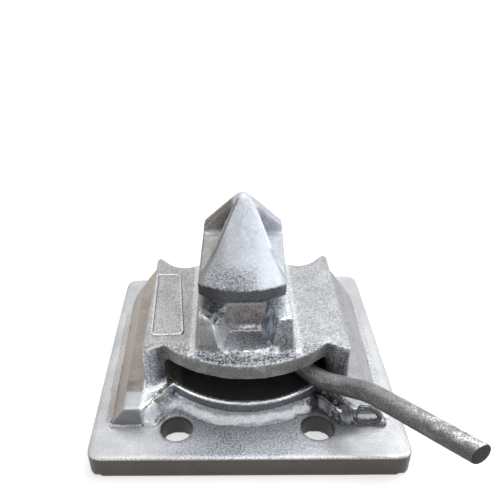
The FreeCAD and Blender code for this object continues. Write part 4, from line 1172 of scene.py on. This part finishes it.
@dataclass
class LeverBar:
    """The bent round bar, worn and sawn off aslant. Angles are in degrees."""

    node: str = "lever_bar"
    finish: Zinc = LEVER_ZINC
    azimuth: float = -50.0
    radius: float = 6.25
    start: float = 15.0
    level: float = 39.5
    knee: float = 75.7
    elbow: float = 110.0
    reach: float = 181.0
    rise: float = 25.0
    tail: float = 6.4
    bend: float = 45.0
    cap: float = 1.1
    saw: float = 2.1
    mitre: float = 15.0
    mitre_run: float = 8.0
    around: int = 72
    step: float = 0.9

    def path(self) -> tuple[np.ndarray, np.ndarray]:
        """The bar's axis: level, a bend up, a slope, a bend back and the tail.

        The slope of the axis is a function of the length along it: it stays, changes evenly over each
        bend, and stays again. The places are its cosine and sine added up.

        Returns:
            Places along the bar as outward and upward lengths, and the slope there in radians.
        """
        rise, tail = math.radians(self.rise), math.radians(self.tail)
        first = self.bend * math.tan(rise / 2)
        second = self.bend * math.tan((rise - tail) / 2)
        slope_run = (self.elbow - self.knee) / math.cos(rise) - first - second
        tail_run = (self.reach - self.elbow) / math.cos(tail) - second - self.cap - self.saw
        marks = np.cumsum([0.0, self.knee - first - self.start, self.bend * rise, slope_run,
                           self.bend * (rise - tail), tail_run])
        length = np.linspace(0.0, marks[-1], int(marks[-1] / self.step) * 4 + 1)
        slope = np.interp(length, marks, [0.0, 0.0, rise, rise, tail, tail])
        move = np.diff(length)
        middle = (slope[1:] + slope[:-1]) / 2
        out = self.start + np.concatenate([[0.0], np.cumsum(np.cos(middle) * move)])
        up = self.level + np.concatenate([[0.0], np.cumsum(np.sin(middle) * move)])
        return np.stack([out, up], axis=1)[::4], slope[::4]

    def rings(self) -> np.ndarray:
        """The bar's cross-sections: circles square to the axis, narrower over the end's cap.

        Over the last millimetres each point slides along the bar by its sideways place times the
        tangent of the mitre. Noise then dents the radius where the bar is outside the housing.

        Returns:
            Points as ring, place on the ring, x y z.
        """
        places, slope = self.path()
        ahead = np.array([math.cos(slope[-1]), math.sin(slope[-1])]) * self.cap
        last = places[-1] + ahead * np.array([0.5, 0.8, 0.95, 0.98, 1.0, 1.0])[:, None]
        shrink = np.array([0.99, 0.97, 0.93, 0.88, 0.6, 0.3])
        radius = np.concatenate([np.full(len(places), self.radius), self.radius * shrink])[:, None]
        places = np.concatenate([places, last])
        slope = np.concatenate([slope, np.full(len(last), slope[-1])])[:, None]
        turn = np.linspace(0.0, FULL_TURN, self.around, endpoint=False)
        sideways = np.cos(turn) * radius
        upward = np.sin(turn) * radius
        legs = np.hypot(*np.diff(places, axis=0).T)
        left = np.concatenate([np.cumsum(legs[::-1])[::-1], [0.0]])[:, None]
        aslant = math.tan(math.radians(self.mitre)) * np.clip(1.0 - left / self.mitre_run, 0.0, 1.0)
        slide = sideways * aslant
        out = places[:, :1] - upward * np.sin(slope) + slide * np.cos(slope)
        up = places[:, 1:] + upward * np.cos(slope) + slide * np.sin(slope)
        azimuth = math.radians(self.azimuth)
        x = out * math.cos(azimuth) - sideways * math.sin(azimuth)
        y = out * math.sin(azimuth) + sideways * math.cos(azimuth)
        rings = np.stack([x, y, up], axis=-1)
        centre = rings.mean(axis=1, keepdims=True)
        dents = layered(rings, 7.0, 81, 3) * 0.022 + layered(rings, 1.6, 87, 2) * 0.008 - 0.02
        free = np.clip((np.hypot(x, y) - 32.0) / 6.0, 0.0, 1.0)
        return centre + (rings - centre) * (1.0 + dents * free)[..., None]

    def build(self) -> Pieces:
        """Makes and paints the bar.

        Returns:
            The new piece.
        """
        bar = closed_tubes("lever_rod", self.rings()[None])
        skin = Skin(bar)
        brush = Brush(skin, (122, 122, 121), 0.8)
        self.mark(brush)
        brush.coats(LEVER_COATS)
        skin.paint(brush)
        dress(bar, self.finish.make(), Slot.LEVER, Body.LOCK, self.node)
        return [bar]

    def mark(self, brush: Brush) -> None:
        """Marks the length along the bar, its sides, the sawn end and noise drawn out along the bar.

        Args:
            brush: The bar's brush.
        """
        azimuth, mitre = math.radians(self.azimuth), math.radians(self.mitre)
        along = np.array([math.cos(azimuth), math.sin(azimuth), 0.0])
        across = np.array([-along[1], along[0], 0.0])
        fields = brush.fields
        fields["out"] = brush.points @ along
        drawn = brush.points - along * fields["out"][:, None] * 0.72
        fields["blotches"] = eased(layered(drawn, 7.0, 91, 3), -0.1, 0.45)
        fields["flecks"] = eased(layered(drawn, 3.2, 95, 3), 0.0, 0.45)
        fields["scrapes"] = brush.patches(3.2, 97, -0.3, 0.2)
        fields["shine"] = 0.75 + 0.25 * brush.patches(6.0, 99, -0.3, 0.2)
        fields["shine"] *= brush.facing((-0.6, -0.04, 0.8), 0.76, 0.95)
        fields["top"] = brush.facing((-0.1, 0.05, 1.0), 0.6, 0.93)
        fields["near_side"] = brush.facing((-0.6, -0.5, -0.1), 0.2, 0.8)
        fields["end"] = brush.region(out=(self.reach - 10.0, self.reach - 8.0))
        fields["sawn"] = brush.normals @ (along * math.cos(mitre) - across * math.sin(mitre))


@dataclass
class WeldRun:
    """One weld bead: a fillet carried along a line at the foot of a wall, swelling and thinning."""

    name: str
    node: str
    line: np.ndarray
    foot: float
    tall: float
    seed: int
    lean: float = 0.0
    belly: float = 0.55
    wander: float = 0.16
    lumps: float = 0.25
    light: Colour = (212, 216, 222)
    dark: Colour = (150, 152, 157)
    patch: float = 9.0
    grit: float = 0.4
    shine: float = 0.8
    # Painted shade for the bead's top, in place of the light tone
    crown_shade: Colour | None = None
    step: float = 0.7
    across: int = 16

    def rings(self) -> np.ndarray:
        """The bead's cross-sections.

        At each even step the section runs from the wall's height to the foot's edge, between a
        straight line and a quarter circle by the belly, and it is closed under the plate and behind
        the wall. Its size follows noise on the length, and its surface noise in space.

        Returns:
            Points as ring, place on the ring, x y z.
        """
        line, length = even_steps(self.line, self.step)
        along = np.gradient(line, axis=0)
        along /= np.linalg.norm(along, axis=1, keepdims=True)
        outward = np.stack([along[:, 1], -along[:, 0]], axis=1)
        key = np.stack([length, np.zeros(len(length)), np.full(len(length), float(self.seed))], axis=1)
        ends = np.sqrt(np.clip(np.minimum(length, length[-1] - length) / (self.foot * 0.7), 0.02, 1.0))
        foot = self.foot * ends * (1.0 + self.wander * layered(key, 8.0, self.seed, 2))
        tall = self.tall * ends * (1.0 + self.wander * 0.7 * layered(key, 11.0, self.seed + 5, 2))
        foot, tall = foot[:, None], tall[:, None]
        part = np.linspace(0.0, math.pi / 2, self.across)
        straight = part / (math.pi / 2)
        up = (np.cos(part) * self.belly + (1.0 - straight) * (1.0 - self.belly)) * tall
        out = (np.sin(part) * self.belly + straight * (1.0 - self.belly)) * foot - up * self.lean
        behind, under = np.full_like(foot, -0.6), np.full_like(foot, -0.4)
        out = np.concatenate([behind, out, foot * 0.9, behind], axis=1)
        up = np.concatenate([tall * 0.8, up, under, under], axis=1)
        flat = line[:, None, :] + outward[:, None, :] * out[..., None]
        rings = np.concatenate([flat, PLATE_TOP + up[..., None]], axis=-1)
        thick = np.clip(np.minimum(up, foot - out + 0.3) / 1.6, 0.0, 1.0)
        rough = layered(rings, 3.2, self.seed + 9, 3) * self.lumps * thick
        rings[..., 2] += rough
        rings[..., :2] += outward[:, None, :] * rough[..., None] * 0.6
        return rings

    def build(self, material: bpy.types.Material) -> bpy.types.Object:
        """Makes the bead and paints it in light and dark stretches, with a painted highlight along its foot,
        painted shade on its top where a crown shade is given, and painted shade under the lever by the right
        front hole.

        Args:
            material: Material of the bead.

        Returns:
            The new piece.
        """
        bead = closed_tubes(self.name, self.rings()[None])
        skin = Skin(bead)
        x, y, z = skin.points.T
        brush = Brush(skin, self.dark, self.grit, self.shine * 0.4)
        high = (z - PLATE_TOP) / self.tall
        wave = layered(skin.points * np.array([1.0, 1.0, 0.2]), self.patch, self.seed + 21, 3)
        soft = self.shine * 0.7
        stretches = eased(wave + 0.5 * np.sin(high * 5.0 + self.seed), -0.25, 0.45)
        brush.lay(stretches, self.light, self.grit, self.shine)
        # The bead's top: the crown shade as painted shade where one is given, else the light tone
        brush.lay(eased(high + wave * 0.25, 0.7, 0.95) * 0.8, self.crown_shade or self.light, self.grit, soft)
        # Painted highlight along the foot
        brush.lay(eased(high + wave * 0.12, 0.16, 0.04) * 0.8, (232, 234, 238), self.grit, soft)
        # Painted shade under the lever, by the right front hole
        under_lever_shade = eased(np.hypot(x - 56.0, y + 62.0) + wave * 6.0, 18.0, 13.0)
        brush.lay(under_lever_shade * 0.85, (90, 91, 95), self.grit, 0.4)
        skin.paint(brush)
        dress(bead, material, Slot.WELD, Body.HOUSING, self.node)
        return bead


@dataclass
class WeldRuns:
    """All the beads round the foot of the dovetail."""

    finish: Zinc = WELD_ZINC
    notch_line: tuple[tuple[float, float], ...] = ((48.36, -49.21), (67.0, -73.0))
    end_line: tuple[tuple[float, float], ...] = ((67.0, -73.0), (89.0, -73.0))
    side_line: tuple[tuple[float, float], ...] = ((89.1, -70.0), (91.4, 49.0))
    tail_line: tuple[tuple[float, float], ...] = ((82.5, 95.0), (69.5, 95.0))
    side_lean: float = 11.0 / 15.0

    def runs(self) -> list[WeldRun]:
        """The beads, each with the line that it follows. A left line is a right one's mirror image.

        Returns:
            One run for each node.
        """
        notch, end, side, tail = (np.array(line) for line in (self.notch_line, self.end_line,
                                                              self.side_line, self.tail_line))
        mirror = np.array([-1.0, 1.0])
        quiet = {"light": (188, 190, 194), "grit": 0.15, "shine": 0.2}
        plain = {"lean": self.side_lean, "lumps": 0.12, "grit": 0.08, "patch": 30.0, "shine": 0.0}
        return [
            WeldRun("bead_front", "weld_front", arc_line(69.0, -136.0, -44.0), 6.0, 8.5, 11, belly=0.2,
                    light=(212, 214, 219), patch=16.0, lumps=0.3, grit=0.25, crown_shade=(118, 121, 128)),
            WeldRun("bead_back", "weld_back", arc_line(64.0, 58.0, 122.0), 5.5, 7.0, 12, belly=0.3,
                    **quiet),
            WeldRun("bead_notch_right", "weld_notch_right", notch, 6.5, 11.0, 13, belly=0.35, wander=0.35,
                    light=(226, 229, 234), dark=(66, 67, 70), lumps=1.0, patch=8.0, grit=0.12,
                    crown_shade=(70, 71, 74)),
            WeldRun("bead_notch_left", "weld_notch_left", notch[::-1] * mirror, 7.5, 12.5, 14, belly=0.3,
                    light=(252, 254, 255), dark=(214, 219, 228), lumps=0.6, patch=6.0, grit=0.1, shine=1.0),
            WeldRun("bead_end_right", "weld_end_right", end, 3.4, 3.2, 15, light=(150, 151, 154),
                    dark=(88, 88, 90), lumps=0.4),
            WeldRun("bead_end_left", "weld_end_left", end[::-1] * mirror, 2.2, 1.6, 16, lumps=0.15,
                    **quiet),
            WeldRun("bead_side_right", "weld_side_right", side, 3.4, 2.6, 17, light=(216, 218, 221),
                    dark=(206, 208, 212), **plain),
            WeldRun("bead_side_left", "weld_side_left", side[::-1] * mirror, 3.2, 2.4, 18,
                    light=(196, 193, 189), dark=(184, 180, 175), **plain),
            WeldRun("bead_tail_right", "weld_tail_right", tail, 4.0, 3.6, 19, **quiet),
            WeldRun("bead_tail_left", "weld_tail_left", tail[::-1] * mirror, 4.0, 3.6, 20, **quiet),
        ]

    def wires(self) -> dict[str, np.ndarray]:
        """The round-bodied runs: one round the right wing's end, and arcs of spatter beside it.

        Returns:
            Points as ring, place on the ring, x y z, by the pieces' names.
        """
        lines = {
            "bead_ring_right": (1.7, [
                (78, -73.2, 18.4), (72, -73.2, 18.4), (68.6, -73, 20.8), (68.2, -72.7, 26.6),
                (70.6, -72.4, 29.9), (77, -72.4, 29.9), (81.2, -72.6, 27), (84.4, -73, 22.4),
                (83.4, -73.2, 18.8), (77, -73.2, 18.3)]),
            "bead_arc_upper": (1.5, [
                (50, -51.5, 29.8), (53, -56, 30.6), (57.5, -60.5, 30.2), (62, -66.5, 29.4)]),
            "bead_arc_lower": (1.3, [
                (46, -54.5, 24), (50.5, -58.5, 26), (55, -64, 24.5), (61, -70, 23.5)]),
        }
        made = {}
        for seed, (name, (radius, turns)) in enumerate(lines.items(), 131):
            line = walked(turns, 0.5, 10)
            swell = radius * (1.0 + 0.28 * layered(line, 3.5, seed, 2))
            number = np.arange(len(line))
            ends = np.minimum(number, number[::-1]) * 0.5 / radius
            made[name] = swept_wire(line, swell * np.sqrt(np.clip(ends, 0.04, 1.0)))
        return made

    def build(self) -> Pieces:
        """Makes all the beads in one material.

        Returns:
            The new pieces.
        """
        material = self.finish.make()
        pieces = [run.build(material) for run in self.runs()]
        for name, rings in self.wires().items():
            wire = closed_tubes(name, rings[None])
            skin = Skin(wire)
            brush = Brush(skin, (92, 93, 96), 0.12, 0.6)
            # Painted highlights in patches on the dark runs
            brush.lay(brush.patches(8.0, 141, 0.15, 0.5), (226, 228, 232), 0.12, 0.8)
            skin.paint(brush)
            dress(wire, material, Slot.WELD, Body.HOUSING)
            pieces.append(wire)
        return pieces


@dataclass
class CastDetails:
    """The thin raised frame on the seat's left side, bare inside, and the zinc drops in the niche."""

    finish: Zinc = CAST_ZINC
    frame_corners: tuple[tuple[float, float], ...] = (
        (-63.0, 32.0), (-46.5, 31.5), (-40.0, -39.0), (-60.5, -39.5))
    frame_level: float = 64.1
    frame_radius: float = 1.05
    drop_count: int = 34

    def build(self) -> Pieces:
        """Makes the frame and the drops.

        Returns:
            The new pieces.
        """
        material = self.finish.make()
        shadow = (coat((120, 120, 120), 0.3, 0.0, away=(0.1, 0.5)),)
        away = np.array([1.0, 0.35, -0.1])
        plans = (
            ("label_frame", self.frame_rings()[None], (212, 213, 215), shadow),
            ("niche_drops", self.drop_rings(), (240, 242, 246), ()),
        )
        pieces = []
        for name, rings, colour, coats in plans:
            piece = closed_tubes(name, rings)
            skin = Skin(piece)
            brush = Brush(skin, colour, 0.15, 0.4)
            brush.fields["away"] = brush.normals @ (away / np.linalg.norm(away))
            brush.coats(coats)
            skin.paint(brush)
            dress(piece, material, Slot.CASTING, Body.HOUSING)
            pieces.append(piece)
        return pieces

    def frame_rings(self) -> np.ndarray:
        """Cross-sections of the raised frame: a low round ridge along its four sides.

        Returns:
            Points as ring, place on the ring, x y z.
        """
        places = [(x, y, self.frame_level) for x, y in self.frame_corners]
        line = walked([*places, places[0]], 0.6, 30)
        return swept_wire(line, self.frame_radius * (1.0 + 0.3 * layered(line, 5.0, 151, 2)), 10, 0.85)

    def drop_rings(self) -> np.ndarray:
        """The drops: balls with lumpy radii, along the foot of the niche's end wall.

        Their places and sizes come from the noise function at one key for each drop.

        Returns:
            Points as drop, ring, place on the ring, x y z.
        """
        number = np.arange(self.drop_count)
        key = np.stack([number * 3.0, number * 0.0, number * 0.0], axis=1) + 0.5
        across = np.linspace(-11.5, 11.5, self.drop_count) + 0.8 * noise(key, 1.0, 161)
        behind = -37.2 - 1.6 * (1.0 + noise(key, 1.0, 163))
        size = 0.75 + 0.4 * noise(key, 1.0, 167)
        up = 66.2 + 1.4 * np.abs(noise(key, 1.0, 169)) ** 2
        centre = np.stack([across, behind, up], axis=1)[:, None, None]
        tilt = np.linspace(0.12, math.pi - 0.12, 7)[:, None]
        turn = np.linspace(0.0, FULL_TURN, 10, endpoint=False)
        ball = np.stack([np.sin(tilt) * np.cos(turn), np.sin(tilt) * np.sin(turn),
                         np.cos(tilt) + turn * 0.0], axis=-1)
        rough = 1.0 + 0.3 * noise(ball * 1.3 + centre * 2.0, 0.8, 171)
        return centre + ball * size[:, None, None, None] * rough[..., None]


@dataclass
class InnerParts:
    """The nodes that are carried over as they are, and their finish."""

    names: tuple[str, ...] = (
        "lever_hub", "lever_weld", "hub_cross_pin", "upper_thrust_washer", "detent_plate",
        "detent_plate_screws", "detent_ball", "detent_spring", "detent_plug", "spring_seat_washer",
        "disc_spring_upper", "disc_spring_lower", "nut_washer", "castle_nut", "split_pin")
    finish: DarkSteel = DarkSteel()

    def build(self, frame: dict) -> Pieces:
        """Dresses the nodes.

        Args:
            frame: The loaded frame.

        Returns:
            The dressed nodes.
        """
        material = self.finish.make()
        nodes = [frame["nodes"][name] for name in self.names]
        for node in nodes:
            node.data.materials.clear()
            node.data.materials.append(material)
        return nodes


# Camera and studio


@dataclass
class PhotoCamera:
    """The photograph's viewpoint, in millimetres and radians, and its picture frame in pixels."""

    place: tuple[float, float, float] = (-7.406, -331.900, 299.504)
    yaw: float = -0.0552
    pitch: float = 0.6007
    roll: float = -0.0504
    focal: float = 579.887
    centre: tuple[float, float] = (206.0, 290.0)
    picture: float = 500.0
    sensor: float = 36.0

    def build(self) -> None:
        """Makes the camera and sets it as the scene's.

        Its forward axis is turned by the yaw and tipped by the pitch, and its sideways and upright
        axes are then turned round it by the roll.
        """
        data = bpy.data.cameras.new("photo_camera")
        data.sensor_width = self.sensor
        data.lens = self.focal / self.picture * self.sensor
        data.shift_x = (self.picture / 2 - self.centre[0]) / self.picture
        data.shift_y = (self.centre[1] - self.picture / 2) / self.picture
        data.clip_start = 0.01
        data.clip_end = 20.0
        cos, sin = math.cos, math.sin
        forward = Vector((sin(self.yaw) * cos(self.pitch), cos(self.yaw) * cos(self.pitch), -sin(self.pitch)))
        level = Vector((cos(self.yaw), -sin(self.yaw), 0.0))
        upright = level.cross(forward)
        right = level * cos(self.roll) + upright * sin(self.roll)
        up = upright * cos(self.roll) - level * sin(self.roll)
        turn = Matrix((right, up, -forward)).transposed().to_4x4()
        camera = put_in_scene("photo_camera", data)
        camera.matrix_world = Matrix.Translation(Vector(self.place) * METRES) @ turn
        bpy.context.scene.camera = camera


@dataclass(frozen=True)
class Lamp:
    """A soft square lamp that looks at the object, in metres and watts."""

    name: str
    place: tuple[float, float, float]
    size: float
    power: float
    aim: tuple[float, float, float] = (0.0, 0.0, 0.05)

    def build(self) -> None:
        """Makes the lamp."""
        data = bpy.data.lights.new(self.name, "AREA")
        data.shape = "SQUARE"
        data.size = self.size
        data.energy = self.power
        lamp = put_in_scene(self.name, data)
        lamp.location = Vector(self.place)
        lamp.rotation_euler = (Vector(self.aim) - lamp.location).to_track_quat("-Z", "Y").to_euler()


@dataclass
class Studio:
    """Pale floor, soft lamps and a plain white surrounding, in metres."""

    floor_half: float = 6.0
    floor_level: float = -0.0002
    paper: Colour = (0.6, 0.6, 0.6)
    white: Colour = (1.0, 1.0, 1.0)
    grey: Colour = (0.8, 0.8, 0.8)
    world_level: float = 0.35
    lamps: tuple[Lamp, ...] = (
        Lamp("lamp_top", (0.25, 0.35, 1.5), 1.2, 15.0),
        Lamp("lamp_right", (1.3, 0.2, 0.8), 0.8, 6.0),
        Lamp("lamp_left", (-1.2, -0.3, 0.9), 0.8, 2.5),
    )

    def build(self) -> None:
        """Makes the floor, the lamps and the world."""
        half, level = self.floor_half, self.floor_level
        mesh = bpy.data.meshes.new("studio_floor")
        edge = [(-half, -half, level), (half, -half, level), (half, half, level), (-half, half, level)]
        mesh.from_pydata(edge, [], [(0, 1, 2, 3)])
        mesh.materials.append(self.floor_material())
        put_in_scene("studio_floor", mesh)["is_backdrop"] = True
        for lamp in self.lamps:
            lamp.build()
        bpy.context.scene.world = self.surround()
        bpy.context.scene.view_settings.view_transform = "Standard"

    def floor_material(self) -> bpy.types.Material:
        """White paper that shows white where light falls and keeps the object's shadow.

        Returns:
            The material.
        """
        graph = Nodes(bpy.data.materials.new("studio_paper"))
        away = graph.add("VectorMath", {0: graph.places()}, operation="LENGTH").outputs["Value"]
        glow = graph.maths("MULTIPLY", graph.seen_directly(), graph.ramp(away, 0.25, 1.0, 0.62, 0.9))
        paper = graph.add("BsdfDiffuse", {"Color": self.paper}).outputs[0]
        light = graph.add("Emission", {"Color": self.white, "Strength": glow}).outputs[0]
        return graph.end(graph.add("AddShader", {0: paper, 1: light}))

    def surround(self) -> bpy.types.World:
        """The world: white where it is seen, and a plain grey light for the rest.

        Returns:
            The world.
        """
        graph = Nodes(bpy.data.worlds.new("studio_world"), "OutputWorld")
        grey = graph.add("Background", {"Color": self.grey, "Strength": self.world_level}).outputs[0]
        white = graph.add("Background", {"Color": self.white, "Strength": 1.0}).outputs[0]
        return graph.end(graph.add("MixShader", {0: graph.seen_directly(), 1: grey, 2: white}))


def corners(box: tuple[Vector, Vector]) -> list[list[float]]:
    """A box's two corners as plain lists."""
    return [[round(value, 6) for value in corner] for corner in box]


def main() -> None:
    """Loads the frame, builds every sub-assembly in order and reports the pieces."""
    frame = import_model()
    frame_box = corners(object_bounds())
    groups = {
        "base plate": BasePlate().build(frame),
        "housing": Housing().build(frame),
        "lock head": LockHead().build(frame),
        "lever bar": LeverBar().build(),
        "welds": WeldRuns().build(),
        "cast details": CastDetails().build(),
        "inner parts": InnerParts().build(frame),
    }
    PhotoCamera().build()
    Studio().build()
    for group, pieces in groups.items():
        for piece in pieces:
            LOG.info("%s: %s, %d faces", group, piece.name, len(piece.data.polygons))
    {"frame": frame_box, "visual": corners(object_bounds())}


if __name__ == "__main__":
    logging.basicConfig(level=logging.INFO, format="%(message)s")
    main()
